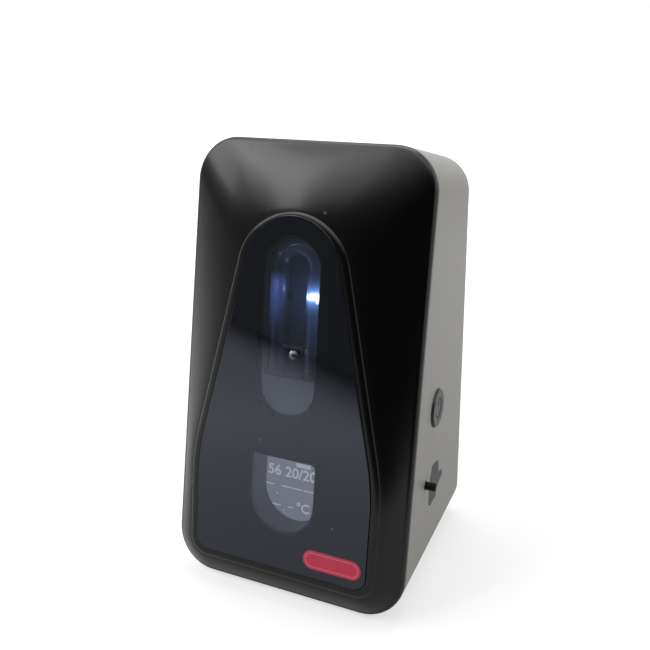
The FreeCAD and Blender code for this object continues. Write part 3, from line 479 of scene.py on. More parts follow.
def turned_mesh(name, profile, place, steps, crease=35.0):
    """Turned shape with closed ends from (out, radius) points, about the place's Z axis."""
    turns = turns_to(2 * math.pi, steps)[:-1]
    rings = [[place @ Vector((radius * math.cos(t), radius * math.sin(t), out)) for t in turns]
             for out, radius in profile]
    shape = bmesh.new()
    add_rings(shape, rings, caps=(True, True))
    return mesh_of(name, shape, crease, FINE_WELD)


def flat_mesh(name, outlines, near, far, place):
    """Flat shape with holes between two depths behind a place's plane."""
    curve = bpy.data.curves.new(name, "CURVE")
    curve.dimensions = "2D"
    curve.fill_mode = "BOTH"
    curve.extrude = (far - near) / 2
    for points in outlines:
        spline = curve.splines.new("POLY")
        spline.points.add(len(points) - 1)
        for spot, point in zip(spline.points, points):
            spot.co = (point[0], point[1], 0, 1)
        spline.use_cyclic_u = True
    return curve_mesh(name, curve, place @ FLAT_TO_DEPTH @ Matrix.Translation((0, 0, -(near + far) / 2)))


def curve_mesh(name, curve, place):
    """Plain mesh of a curve or a text, moved to its place."""
    return evaluated_mesh(name, add_object(name, curve), place)


def evaluated_mesh(name, holder, place):
    """Plain mesh of an object with its modifiers applied, moved to its place; the object is removed."""
    graph = bpy.context.evaluated_depsgraph_get()
    mesh = bpy.data.meshes.new_from_object(holder.evaluated_get(graph))
    bpy.data.objects.remove(holder)
    mesh.transform(place)
    shape = bmesh.new()
    shape.from_mesh(mesh)
    bpy.data.meshes.remove(mesh)
    return mesh_of(name, shape, weld=FINE_WELD)


def joined(name, meshes):
    """One mesh made of several."""
    shape = bmesh.new()
    for mesh in meshes:
        shape.from_mesh(mesh)
        bpy.data.meshes.remove(mesh)
    return mesh_of(name, shape, weld=FINE_WELD)


# Finishes

# A bell curve is this to the power of minus a square
BELL_BASE = 2.718


class Level:
    """A number or colour in a node tree that takes part in Python arithmetic."""

    def __init__(self, tree, socket):
        self.tree = tree
        self.socket = socket

    def maths(self, operation, *values):
        return self.tree.node("ShaderNodeMath", {"operation": operation}, dict(enumerate(values)))

    def above(self, other):
        return self.maths("GREATER_THAN", self, other)

    def at_most(self, other):
        return self.maths("MINIMUM", self, other)

    def at_least(self, other):
        return self.maths("MAXIMUM", self, other)

    def eased(self, low, high):
        """0 below low, 1 above high and smooth between."""
        settings = {"interpolation_type": "SMOOTHSTEP"}
        values = {"Value": self, "From Min": low, "From Max": high, "To Min": 0.0, "To Max": 1.0}
        return self.tree.node("ShaderNodeMapRange", settings, values)


def add_operator(name, operation):
    """Gives Level a Python operator, whichever side of it the level is on."""
    setattr(Level, f"__{name}__", lambda self, other: self.maths(operation, self, other))
    setattr(Level, f"__r{name}__", lambda self, other: self.maths(operation, other, self))


OPERATORS = {"add": "ADD", "sub": "SUBTRACT", "mul": "MULTIPLY", "truediv": "DIVIDE", "pow": "POWER"}
for python_name, node_name in OPERATORS.items():
    add_operator(python_name, node_name)


class Tree:
    """A node tree under construction: one method adds any node."""

    def __init__(self, tree):
        self.tree = tree

    def node(self, kind, settings, values, output=0):
        """Adds a node: its settings first, then the values or links of its sockets."""
        node = self.tree.nodes.new(kind)
        for key, value in settings.items():
            setattr(node, key, value)
        for key, value in values.items():
            self.join(node.inputs[key], value)
        return Level(self, node.outputs[output])

    def join(self, socket, value):
        """Links a level or each of several levels to a socket, or gives it a plain value."""
        if isinstance(value, Level):
            self.tree.links.new(value.socket, socket)
        elif isinstance(value, list):
            for each in value:
                self.tree.links.new(each.socket, socket)
        elif isinstance(value, (tuple, Vector)) and len(socket.default_value) == 4:
            socket.default_value = (*value, 1.0)
        else:
            socket.default_value = value

    def axis(self, vector, name):
        return self.node("ShaderNodeSeparateXYZ", {}, {"Vector": vector}, name)

    def reach(self, vector, axis):
        """How far a vector reaches along an axis."""
        return self.node("ShaderNodeVectorMath", {"operation": "DOT_PRODUCT"}, {0: vector, 1: axis}, "Value")


class Finish(Tree):
    """A material under construction: its patterns, and the ways they are used."""

    def __init__(self, name, **fixed):
        self.material = bpy.data.materials.new(name)
        self.material.use_nodes = True
        super().__init__(self.material.node_tree)
        self.shader = self.tree.nodes["Principled BSDF"]
        self.set(**fixed)
        self.spot = self.node("ShaderNodeTexCoord", {}, {}, "Object")

    def set(self, **values):
        for key, value in values.items():
            self.join(self.shader.inputs[key.replace("_", " ")], value)

    def cover(self, factor, values):
        """Lays a second shader over the first where the factor is 1."""
        second = self.tree.nodes.new("ShaderNodeBsdfPrincipled")
        for key, value in values.items():
            self.join(second.inputs[key], value)
        blend = self.tree.nodes.new("ShaderNodeMixShader")
        self.join(blend.inputs["Fac"], factor)
        self.tree.links.new(self.shader.outputs["BSDF"], blend.inputs[1])
        self.tree.links.new(second.outputs["BSDF"], blend.inputs[2])
        self.tree.links.new(blend.outputs["Shader"], self.tree.nodes["Material Output"].inputs["Surface"])

    def noise(self, scale, detail=2.0, stretch=(1, 1, 1)):
        place = self.node("ShaderNodeMapping", {}, {"Vector": self.spot, "Scale": stretch})
        return self.node("ShaderNodeTexNoise", {}, {"Vector": place, "Scale": scale, "Detail": detail})

    def cells(self, scale):
        """Distance to the nearest of scattered points."""
        values = {"Vector": self.spot, "Scale": scale}
        return self.node("ShaderNodeTexVoronoi", {"feature": "F1"}, values, "Distance")

    def mix(self, factor, first, second):
        """Colour between two colours."""
        return self.node("ShaderNodeMix", {"data_type": "RGBA"}, {"Factor": factor, 6: first, 7: second}, 2)

    def panel_axis(self, index):
        """Distance along an axis of the panel: 0 to the right, 1 into it and 2 up it."""
        place = panel_place()
        axis = place.to_3x3().col[index]
        return self.reach(self.spot, axis) - place.translation.dot(axis)

    def glow_from(self, spot, width):
        """1 at a point of the panel's plane, fading as a bell of this width."""
        across = (self.panel_axis(0) - spot[0]) / width
        along = (self.panel_axis(2) - spot[1]) / width
        return BELL_BASE ** (0 - across * across - along * along)

    def paint(self, pattern, first, second, roughness, gain=0.1):
        """Colour between two colours by a pattern, and a gloss that varies with it."""
        self.set(Base_Color=self.mix(pattern, first, second), Roughness=roughness + pattern * gain)

    def relief(self, height, strength, distance):
        self.set(Normal=self.node("ShaderNodeBump", {}, {"Height": height, "Strength": strength,
                                                        "Distance": distance}))


def dimmed(tone, amount):
    return tuple(min(1.0, value * amount) for value in tone)


def chosen(name):
    """A colour among the settings, as three numbers."""
    return tuple(getattr(bpy.context.scene.meter_finishes, name))


def moulded(name, tone, roughness, grain, depth, mottle=0.06, shine=0.45):
    """Moulded plastic: fine grain, slight mottling and uneven gloss."""
    finish = Finish(name, Specular_IOR_Level=shine)
    blotches = finish.noise(60.0, 3.0)
    fine = finish.noise(grain, 3.0)
    finish.set(Base_Color=finish.mix(blotches, dimmed(tone, 1 - mottle), dimmed(tone, 1 + mottle)),
               Roughness=roughness - 0.06 + blotches * 0.08 + fine * 0.04)
    finish.relief(fine, 0.5, depth)
    return finish


def coated(name, grain, first, second, roughness, relief=None, gain=0.1, **fixed):
    """Finish whose colour, gloss and relief follow one noise of a given scale, detail and stretch."""
    finish = Finish(name, **fixed)
    pattern = finish.noise(*grain)
    finish.paint(pattern, first, second, roughness, gain)
    if relief:
        finish.relief(pattern, *relief)
    return finish


def metal(name, tone, roughness, stretch=(1, 1, 1)):
    """Metal with drawn or turned marks."""
    return coated(name, (900.0, 2.0, stretch), dimmed(tone, 0.86), dimmed(tone, 1.08), roughness,
                  (0.25, 0.00002), 0.12, Metallic=1.0)


def printed(name, tone):
    """Printed colour."""
    return coated(name, (700.0, 3.0), dimmed(tone, 0.92), dimmed(tone, 1.08), 0.3, (0.2, 0.00002))


def lacquered_front():
    """Black lacquer with a faint haze, slow waves and a few specks of dust."""
    finish = Finish("black lacquer", Specular_IOR_Level=0.34, Coat_Roughness=0.1, Coat_IOR=1.5)
    tone = chosen("front")
    haze = finish.noise(45.0, 3.0)
    fine = finish.noise(2600.0, 2.0)
    specks = (0.08 - finish.cells(165.0)).above(0.0) * finish.noise(37.0, 1.0).eased(0.60, 0.66)
    lacquer = finish.mix(haze, dimmed(tone, 0.8), dimmed(tone, 1.2))
    finish.set(Base_Color=finish.mix(specks, lacquer, (0.12, 0.12, 0.12)),
               Roughness=0.24 + haze * 0.05 + specks * 0.3, Coat_Weight=0.08 - specks * 0.06)
    finish.relief(haze * 0.6 + fine * 0.02, 0.12, 0.00012)
    return finish


def tinted_pane():
    """Smoked glass over its windows and glossy black over the print, both with fine dust."""
    gloss = {"IOR": 1.62, "Specular IOR Level": 0.5, "Specular Tint": (0.77, 0.84, 1.0)}
    finish = Finish("smoked pane", Transmission_Weight=1.0)
    finish.set(**gloss)
    p = pane()
    tone = chosen("pane")
    specks = (0.05 - finish.cells(120.0)).above(0.0) * finish.noise(31.0, 1.0).eased(0.62, 0.68)
    cloud = finish.noise(60.0, 2.0)
    finish.set(Base_Color=finish.mix(specks, finish.mix(cloud, dimmed(tone, 0.96), tone), (0.9, 0.9, 0.9)),
               Roughness=0.02 + cloud * 0.02)
    across = finish.panel_axis(0)
    along = finish.panel_axis(2)

    def within(half, low, high):
        """1 inside a window with half-round ends whose middles lie at two heights."""
        past = (along - low).at_most(0.0) + (along - high).at_least(0.0)
        return (half + p.print_margin - (across * across + past * past) ** 0.5).above(0.0)

    cell = within(p.cell_half, p.cell_low + p.cell_half, p.cell_high - p.cell_half)
    display = within(p.display_half, p.display_low + p.display_half, p.display_high)
    display = display * (p.display_high + p.print_margin - along).above(0.0)
    covered = {
        "Base Color": finish.mix(specks, (0.0012, 0.0016, 0.003), (0.12, 0.12, 0.12)),
        "Roughness": 0.05 + cloud * 0.03 + specks * 0.4,
        **gloss,
    }
    finish.cover(1 - cell.at_least(display), covered)
    return finish


def clear_tube():
    """Thin glass with painted light in its emission: a painted glint where one lamp shines through its right
    leg, and painted glow where the left leg and the bend catch some of it.
    """
    finish = Finish("tube glass", Transmission_Weight=1.0, IOR=1.47, Roughness=0.03)
    across = finish.panel_axis(0)
    along = finish.panel_axis(2)

    def bell(level, width):
        """1 at a height, fading as a bell of this width."""
        reach = (along - level) / width
        return BELL_BASE ** (0 - reach * reach)

    right = across.above(0.0)
    # One noise gives the glass its own smears and also breaks up the painted glow into streaks
    smears_and_glow_streaks = finish.noise(420.0, 3.0, (1, 1, 0.2)).eased(0.3, 0.75)
    # Painted light: the glint, its halo and spread on the right leg, the lit spot on the left leg and the faint
    # glow on the bend are painted into the emission colour
    glint = LAMP_LIT[1] + 1.9 * MM
    core = bell(glint, 0.85 * MM) * right
    halo = bell(glint, 3.0 * MM) * right
    spread = bell(glint - 4.0 * MM, 11.0 * MM) * right * (0.35 + smears_and_glow_streaks * 0.65)
    painted_leg_glow = along.eased(96.0 * MM, 113.0 * MM) * (1 - along.eased(113.5 * MM, 118.5 * MM))
    painted_leg_glow = painted_leg_glow * (1 - across.eased(-6.4 * MM, -4.4 * MM))
    painted_bend_glow = along.eased(120.0 * MM, 127.0 * MM)
    blue = spread * 0.22 + painted_leg_glow * (0.4 + smears_and_glow_streaks * 0.5) + painted_bend_glow * (0.008 - across * 2.0)
    lit = finish.mix(blue, (0.002, 0.004, 0.008), chosen("glow"))
    lit = finish.mix(halo, lit, (0.35, 0.75, 1.8))
    finish.set(Base_Color=finish.mix(smears_and_glow_streaks, (0.86, 0.9, 0.96), (0.96, 0.97, 0.99)),
               Emission_Color=finish.mix(core, lit, (5.0, 6.6, 8.6)), Emission_Strength=0.3)
    return finish


def lit_screen():
    """Lit display with fine rows."""
    finish = Finish("lit screen", Roughness=0.3)
    tone = chosen("screen")
    wave = {"Vector": finish.spot, "Scale": 1500.0}
    rows = finish.node("ShaderNodeTexWave", {"bands_direction": "Z"}, wave)
    cloud = finish.noise(70.0, 2.0)
    shade = rows * 0.08 + cloud * 0.14
    finish.set(Base_Color=finish.mix(shade, dimmed(tone, 0.2), dimmed(tone, 0.3)),
               Emission_Color=finish.mix(shade, dimmed(tone, 0.92), dimmed(tone, 1.3)), Emission_Strength=1.5)
    return finish


def lit_marks():
    """Marks on the display, lit unevenly."""
    finish = Finish("lit marks", Roughness=0.4)
    tone = chosen("marks")
    dots = finish.noise(1800.0, 2.0)
    finish.set(Base_Color=finish.mix(dots, dimmed(tone, 0.4), dimmed(tone, 0.6)),
               Emission_Color=finish.mix(dots, dimmed(tone, 0.7), tone), Emission_Strength=0.85)
    return finish


def lamp_lens():
    """Lamps of which the upper right one is lit."""
    finish = Finish("lamp lens", Roughness=0.2)
    cloud = finish.noise(900.0, 2.0)
    lit = finish.glow_from(LAMP_LIT, 3.0 * MM).eased(0.2, 0.5)
    finish.set(Base_Color=finish.mix(cloud, (0.04, 0.045, 0.05), (0.07, 0.075, 0.08)),
               Emission_Color=finish.mix(lit, (0.0, 0.0, 0.0), (0.7, 0.85, 1.0)), Emission_Strength=3.0)
    return finish


def circuit_board():
    """Green board with lighter tracks."""
    finish = Finish("circuit board")
    tracks = finish.node("ShaderNodeTexBrick", {"offset": 0.3}, {"Vector": finish.spot, "Scale": 260.0})
    finish.paint(tracks, (0.012, 0.10, 0.05), (0.03, 0.2, 0.1), 0.32)
    finish.relief(tracks, 0.3, 0.00003)
    return finish


def dark_board():
    """Board under black resist, with a faint painted glow of the cell's lamp in its emission."""
    finish = Finish("dark board", Specular_IOR_Level=0.4)
    tracks = finish.node("ShaderNodeTexBrick", {"offset": 0.3}, {"Vector": finish.spot, "Scale": 260.0}, 1)
    # Painted light: a pool of the lamp's light around its place, painted into the board's emission
    lit = finish.glow_from(LAMP_LIT, 9.0 * MM)
    finish.paint(tracks, (0.008, 0.009, 0.012), (0.02, 0.022, 0.026), 0.4)
    finish.set(Emission_Color=finish.mix(lit, (0.004, 0.006, 0.012), (0.04, 0.065, 0.14)),
               Emission_Strength=1.0)
    return finish


def finish_makers():
    """Each material slot of the record with the function that makes its finish."""
    return {
        "grey_shell": lambda: moulded("grey shell", chosen("shell"), 0.46, 2400.0, 0.00004, 0.03),
        "black_gloss": lacquered_front,
        "tinted_glass": tinted_pane,
        "mask_black": lambda: coated("backing print", (500.0, 2.0), (0.004, 0.004, 0.005),
                                     (0.008, 0.008, 0.009), 0.5),
        "shroud_grey": lambda: moulded("shroud grey", (0.105, 0.107, 0.11), 0.55, 1600.0, 0.00002),
        "dark_board": dark_board,
        "black_rubber": lambda: moulded("black rubber", (0.005, 0.005, 0.006), 0.62, 1500.0, 0.00005,
                                        shine=0.15),
        "clear_glass": clear_tube,
        "dark_plastic": lambda: moulded("dark moulding", (0.035, 0.036, 0.038), 0.5, 1600.0, 0.00004),
        "chip_black": lambda: moulded("chip case", (0.02, 0.02, 0.022), 0.55, 1800.0, 0.00003),
        "steel": lambda: metal("plated steel", (0.56, 0.56, 0.57), 0.24),
        "zinc_plate": lambda: metal("zinc plate", (0.5, 0.51, 0.53), 0.36, (1, 1, 0.2)),
        "cell_aluminium": lambda: metal("anodised aluminium", (0.2, 0.205, 0.215), 0.36, (1, 6, 1)),
        "magnet_chrome": lambda: metal("magnet plating", (0.7, 0.7, 0.72), 0.12),
        "copper_wire": lambda: metal("coil wire", (0.12, 0.07, 0.05), 0.4, (1, 1, 8)),
        "fitting_brass": lambda: metal("turned brass", (0.7, 0.53, 0.26), 0.26, (1, 8, 1)),
        "circuit_board": circuit_board,
        "screen": lit_screen,
        "lamp_white": lamp_lens,
        "battery_wrap": lambda: coated("battery wrap", (240.0, 4.0, (1, 4, 1)), (0.03, 0.06, 0.18),
                                       (0.06, 0.11, 0.27), 0.3, (0.5, 0.0001)),
        "button_grey": lambda: moulded("button cap", chosen("button"), 0.38, 2200.0, 0.00003),
        "soft_hose": lambda: coated("milky hose", (300.0, 3.0), (0.55, 0.58, 0.58), (0.68, 0.7, 0.7), 0.4,
                                    (0.2, 0.00003), Subsurface_Weight=0.2, Transmission_Weight=0.3),
        "port_grey": lambda: moulded("port plastic", (0.13, 0.13, 0.135), 0.4, 1800.0, 0.00003),
    }


def finish_for(slot):
    """The finish of a material slot, made once."""
    made = bpy.data.materials.get("slot " + slot)
    if made is None:
        made = finish_makers()[slot]().material
        made.name = "slot " + slot
    return made


# Pieces

# Rings over each part of the front's skin and over the pane's edge
SEAM_RINGS = 3
RIM_RINGS = 10
FLANK_RINGS = 28
CROWN_RINGS = 10
LIP_RINGS = 4
EDGE_RINGS = 5
DISH_RINGS = 8
# Sides of the posts, the button and the plug
POST_SIDES = 40
BUTTON_SIDES = 96
PLUG_SIDES = 48
# Radius left open in the middle of a turned face, for its cap
CENTRE = 0.05 * MM


def flank_point(outer, inner, part):
    """Point of the flank at a share of its way from the rim to the frame."""
    f = fascia()
    inset = f.rim_round * (1 - math.cos(f.rim_turn))
    rise = f.skirt + f.rim_round * math.sin(f.rim_turn)
    start = face_place() @ Vector((outer[0], -rise, outer[1]))
    end = panel_place() @ Vector((inner[0], f.step, inner[1]))
    forward = (face_place().to_3x3() @ Vector((0, -1, 0))).normalized()
    swell = 1 - (1 - part) ** f.bow - part
    return start + (end - start) * part + forward * (end - start).dot(forward) * swell


def fascia_rings():
    """The front's skin as rings, from the seam over rim, flank and frame to the seat, and back inside."""
    f = fascia()
    panel = panel_place()

    def on_face(inset, depth):
        return lay(face_place(), housing_outline(inset), depth)

    rings = [on_face(f.seam, 0)]
    for turn in turns_to(math.pi / 2, SEAM_RINGS, 1):
        rings.append(on_face(f.seam * (1 - math.sin(turn)), -f.seam * (1 - math.cos(turn))))
    for turn in turns_to(f.rim_turn, RIM_RINGS):
        rings.append(on_face(f.rim_round * (1 - math.cos(turn)), -f.skirt - f.rim_round * math.sin(turn)))
    rim = ring(housing_outline(f.rim_round * (1 - math.cos(f.rim_turn))))
    top = ring(frame_outline(0))
    for i in range(1, FLANK_RINGS + 1):
        rings.append([flank_point(a, b, i / FLANK_RINGS) for a, b in zip(rim, top)])
    for turn in reversed(turns_to(f.crown_turn, CROWN_RINGS)[:-1]):
        inset = f.crown * (1 - math.sin(turn) / math.sin(f.crown_turn))
        depth = f.step * (1 - math.cos(turn)) / (1 - math.cos(f.crown_turn))
        rings.append(lay(panel, frame_outline(inset), depth))
    rings.append(lay(panel, pane_outline(f.gap + f.lip * 1.2), 0))
    for turn in turns_to(math.pi / 2, LIP_RINGS):
        outline = pane_outline(f.gap + f.lip * (1 - math.sin(turn)))
        rings.append(lay(panel, outline, f.lip * (1 - math.cos(turn))))
    rings.append(lay(panel, pane_outline(f.gap), f.seat))
    rings.append(lay(panel, pane_outline(-f.band), f.seat))
    rings.append(lay(panel, pane_outline(-f.band), f.seat + f.ledge))
    rings.append(lay(panel, frame_outline(f.band), f.seat + f.ledge))
    outer = f.wall + f.tongue_gap
    inner = outer + f.tongue_wall
    for inset, depth in ((inner, 0), (inner, f.tongue), (outer, f.tongue), (outer, 0)):
        rings.append(on_face(inset, depth))
    return rings


def window_outlines(grow):
    """Outlines of the two windows, grown to all sides."""
    p = pane()
    half = p.cell_half + grow
    wide = p.display_half + grow
    cell = capsule(half, p.cell_low - grow, p.cell_high + grow, half * ROUND_END, half * ROUND_END)
    display = capsule(wide, p.display_low - grow, p.display_high + grow, wide * ROUND_END,
                      p.display_corner + grow)
    return [ring(cell, WINDOW_STEPS), ring(display, WINDOW_STEPS)]


def make_fascia():
    """The front: its skin, the ledge behind the pane with the two openings, and the four posts."""
    f = fascia()
    shape = bmesh.new()
    add_rings(shape, fascia_rings(), closed=True)
    skin = mesh_of("fascia skin", shape, 28.0)
    ledge = flat_mesh("ledge", [ring(pane_outline(-f.band + f.lip)), *window_outlines(pane().window_gap)],
                      f.seat + f.lip, f.seat + f.ledge - f.lip, panel_place())
    posts = []
    for x in (-f.post_side, f.post_side):
        for level, start in ((f.post_low, f.seat + f.ledge / 2), (f.post_high, f.post_root)):
            place = panel_place() @ Matrix.Translation((x, 0, level)) @ FLAT_TO_DEPTH
            profile = [(-start, f.post_radius), (-f.post_end + f.lip, f.post_radius),
                       (-f.post_end, f.post_radius - f.lip)]
            posts.append(turned_mesh("post", profile, place, POST_SIDES))
    return joined("fascia", [skin, ledge, *posts])


def make_pane():
    """Pane with a rounded front edge; a ring inside that edge keeps its face shaded flat."""
    p = pane()
    rings = [lay(panel_place(), pane_outline(p.grow), p.back)]
    for turn in turns_to(math.pi / 2, EDGE_RINGS):
        outline = pane_outline(p.grow - p.edge * (1 - math.cos(turn)))
        rings.append(lay(panel_place(), outline, -p.proud + p.edge * (1 - math.sin(turn))))
    rings.append(lay(panel_place(), pane_outline(p.grow - 2 * p.edge), -p.proud))
    shape = bmesh.new()
    add_rings(shape, rings, caps=(True, True))
    return mesh_of("pane", shape, 30.0)


def pill(width, height, middle, level):
    """Level outline with half-round ends."""
    round_end = height / 2 * ROUND_END
    edges = capsule(height / 2, -width / 2, width / 2, round_end, round_end)
    return [(middle + y, level - x) for x, y in reversed(ring(edges, BADGE_STEPS))]


def make_badge():
    """Bare red badge, with the pale line inside its edge as a piece of its own."""
    p = pane()
    front = -p.proud

    def inside(step):
        return pill(p.badge_width - 2 * step, p.badge_height - 2 * step, p.badge_middle, p.badge_level)

    badge = flat_mesh("badge", [inside(0)], front - p.print_rise, front, panel_place())
    line = flat_mesh("badge line", [inside(p.badge_rim), inside(p.badge_rim + p.badge_line)],
                     front - 1.6 * p.print_rise, front - p.print_rise / 2, panel_place())
    return badge, line


def bar(left, right, level, width):
    """Outline of a level bar about its middle line."""
    low, high = level - width / 2, level + width / 2
    return [(left, low), (right, low), (right, high), (left, high)]


def dot(x, level, radius):
    return ring([bend((x, level), radius, 0.0, 2 * math.pi)], (16,))


# Height of a figure in the built-in font as a share of the font's size
FIGURE_SHARE = 0.72
# Marks on the display in millimetres: left and right ends of the dashes, place of each point with its radius as
# a share of a dash's thickness, and left and right end, level and thickness of the thick bar
UPPER_DASHES = ((-12.6, -9.2), (-6.3, -2.2), (-1.7, 2.4), (2.9, 7.0))
LOWER_DASHES = ((-9.8, -6.0), (-3.2, -1.2))
POINTS = ((-7.8, 33.9, 0.8), (-4.7, 27.8, 0.7))
THICK_BAR = (-0.6, 5.2, 46.5, 1.5)


def text_mesh(words, height, left, level, place):
    """Figures drawn as a flat mesh, their height as given."""
    text = bpy.data.curves.new("figures", "FONT")
    text.body = words
    text.size = height / FIGURE_SHARE
    text.extrude = bpy.context.scene.meter_display.rise / 2
    text.offset = bpy.context.scene.meter_display.digit_weight
    return curve_mesh("figures", text, place @ Matrix.Translation((left, 0, level)) @ FLAT_TO_DEPTH)


def make_display_marks():
    """Figures, dashes and the unit on the screen."""
    d = bpy.context.scene.meter_display
    place = panel_place() @ Matrix.Translation((0, d.depth - d.rise, 0))
    thin = d.bar_width
    outlines = [bar(left * MM, right * MM, d.bar_level, thin) for left, right in UPPER_DASHES]
    outlines += [bar(left * MM, right * MM, d.low_level, thin) for left, right in LOWER_DASHES]
    outlines += [dot(x * MM, level * MM, thin * size) for x, level, size in POINTS]
    outlines.append(bar(*[value * MM for value in THICK_BAR]))
    flat = [flat_mesh("dashes", [points], -d.rise / 2, d.rise / 2, place) for points in outlines]
    figures = text_mesh("56 20/20", d.digit_height, d.digit_start, d.digit_level, place)
    unit = text_mesh("\N{DEGREE SIGN}C", d.unit_height, d.unit_start, d.unit_level, place)
    return joined("display marks", flat + [figures, unit])


def dish_radius():
    return side().button_radius - 2.2 * side().button_edge


def rounding(out, radius, edge, steps):
    """Rounded edge of a turned shape, from its face to its side, as (out, radius)."""
    return [(out - edge + edge * math.cos(t), radius - edge + edge * math.sin(t))
            for t in turns_to(math.pi / 2, steps)]


def button_profile():
    """Dished cap with a rounded edge, its flange behind the wall and the stem, as (out, radius)."""
    s = side()
    profile = []
    for i in range(DISH_RINGS + 1):
        part = i / DISH_RINGS
        profile.append((s.button_proud - s.button_dish * (1 - part ** 2), max(CENTRE, dish_radius() * part)))
    profile.append((s.button_proud + s.button_edge * 0.02, s.button_radius - 1.6 * s.button_edge))
    profile += rounding(s.button_proud, s.button_radius, s.button_edge, 6)
    flange = -(fascia().wall + s.flange_gap)
    flange_end = flange - s.flange_thickness
    flange_radius = s.button_radius + s.flange_reach
    profile += [(flange, s.button_radius), (flange, flange_radius), (flange_end, flange_radius),
                (flange_end, s.stem_radius), (-(fascia().wall + s.stem_length), s.stem_radius)]
    return profile


def make_button():
    s = side()
    place = wall_place(s.button_depth, s.button_height)
    return turned_mesh("button", button_profile(), place, BUTTON_SIDES, 30.0)


def arc_band(radius, width, start, end, steps=40):
    """Outline of a bent band."""
    parts = [i / steps for i in range(steps + 1)]
    outer = bend((0, 0), radius + width / 2, start, end - start)
    inner = bend((0, 0), radius - width / 2, start, end - start)
    return [outer(part) for part in parts] + [inner(part) for part in reversed(parts)]


def wall_mesh(name, outlines, low, high, place):
    """Flat shape lying on the right wall, between two heights above it."""
    return flat_mesh(name, outlines, -high, -low, place @ FLAT_TO_DEPTH.inverted())


def make_power_sign():
    """Broken ring and stroke, printed on the button's dish and following its hollow."""
    s = side()
    place = wall_place(s.button_depth, s.button_height)
    base = s.button_proud - s.button_dish
    band = arc_band(s.sign_radius, s.sign_line, math.pi / 2 + s.sign_gap, math.pi * 5 / 2 - s.sign_gap)
    stroke = bar(-s.sign_line / 2, s.sign_line / 2, s.sign_radius * 0.75, s.sign_radius * 1.1)
    mesh = wall_mesh("power sign", [band, stroke], base - s.sign_rise, base + s.sign_rise, Matrix())
    for vertex in mesh.vertices:
        vertex.co.z += s.button_dish * (vertex.co.xy.length / dish_radius()) ** 2
    mesh.transform(place)
    return mesh


# Corners of the sign beside the plug in millimetres, behind the rim's foot and above the underside
CHARGE_SIGN = ((31.6, 28.3), (39.7, 27.9), (40.5, 30.5), (43.3, 31.9), (47.8, 32.2), (48.3, 35.0), (43.8, 36.0),
               (42.6, 38.0), (42.3, 41.8), (38.9, 43.4), (33.9, 44.2), (32.0, 41.4), (30.5, 39.4), (30.1, 36.0),
               (29.7, 29.9))


def make_charge_sign():
    """Bolt printed beside the charging plug."""
    s = side()
    place = wall_place(s.button_depth, s.button_height)
    inverse = place.inverted()
    f = fascia()
    spots = []
    for depth, height in CHARGE_SIGN:
        d, h = depth * MM, height * MM
        spots.append(inverse @ Vector((half_width(d, h), d - f.foot, h + f.lift)))
    return wall_mesh("charge sign", [[(p.x, p.y) for p in spots]], 0, s.sign_rise, place)


def make_plug():
    """Grip with a rounded edge, and a hollow tip behind the wall."""
    s = side()
    root = -fascia().wall - s.plug_root
    tip = root - s.tip_length
    profile = [(s.plug_proud, 2 * CENTRE), *rounding(s.plug_proud, s.plug_radius, s.plug_edge, 5),
               (root, s.plug_radius), (root, s.tip_radius), (tip, s.tip_radius), (tip, s.tip_bore),
               (root, s.tip_bore)]
    return turned_mesh("plug", profile, wall_place(s.plug_depth, s.plug_height), PLUG_SIDES, 32.0)


def screw_tree():
    """Node tree that sets one screw, its head's face outwards, at four corners of an upright plane."""
    group = bpy.data.node_groups.new("rear screws", "GeometryNodeTree")
    group.interface.new_socket("Screws", in_out="OUTPUT", socket_type="NodeSocketGeometry")
    sizes = [key for key in ScrewSizes.__annotations__ if key != "inset"]
    for name in (*sizes, "span", "rise", "plane", "middle"):
        group.interface.new_socket(name, in_out="INPUT", socket_type="NodeSocketFloat")
    group.interface.new_socket("metal", in_out="INPUT", socket_type="NodeSocketMaterial")
    tree = Tree(group)
    start = group.nodes.new("NodeGroupInput")
    size = {socket.name: Level(tree, socket) for socket in start.outputs if socket.name}

    def turned(low_radius, high_radius, low, high, sides=48):
        """Closed cone between two heights."""
        cone = tree.node("GeometryNodeMeshCone", {}, {"Vertices": sides, "Radius Bottom": low_radius,
                                                      "Radius Top": high_radius, "Depth": high - low})
        place = tree.node("ShaderNodeCombineXYZ", {}, {"Z": low})
        return tree.node("GeometryNodeTransform", {}, {"Geometry": cone, "Translation": place})

    head = turned(size["head"], size["head"], 0 - size["head_height"], 0 - size["chamfer"])
    face = turned(size["head"], size["head"] - size["chamfer"], 0 - size["chamfer"], 0)
    tip = 0 - size["head_height"] - size["shank_length"]
    shank = turned(size["shank"], size["shank"], tip + size["point"], 0 - size["head_height"])
    point = turned(size["shank"] - size["point"], size["shank"], tip, tip + size["point"])
    solid = tree.node("GeometryNodeMeshBoolean", {"operation": "UNION"}, {"Mesh 2": [head, face, shank, point]})
    socket = turned(size["socket"], size["socket"], 0 - size["socket_depth"], size["socket_depth"], 6)
    cut = {"Mesh 1": solid, "Mesh 2": [socket]}
    screw = tree.node("GeometryNodeMeshBoolean", {"operation": "DIFFERENCE"}, cut)
    corners = tree.node("GeometryNodeMeshGrid", {}, {"Size X": size["span"], "Size Y": size["rise"],
                                                     "Vertices X": 2, "Vertices Y": 2})
    place = tree.node("ShaderNodeCombineXYZ", {}, {"Y": size["plane"], "Z": size["middle"]})
    upright = tree.node("GeometryNodeTransform", {}, {"Geometry": corners, "Translation": place,
                                                      "Rotation": (math.pi / 2, 0, 0)})
    each = tree.node("GeometryNodeInstanceOnPoints", {}, {"Points": upright, "Instance": screw,
                                                          "Rotation": (-math.pi / 2, 0, 0)})
    real = tree.node("GeometryNodeRealizeInstances", {}, {"Geometry": each})
    done = tree.node("GeometryNodeSetMaterial", {}, {"Geometry": real, "Material": size["metal"]})
    end = group.nodes.new("NodeGroupOutput")
    tree.join(end.inputs["Screws"], done)
    return group


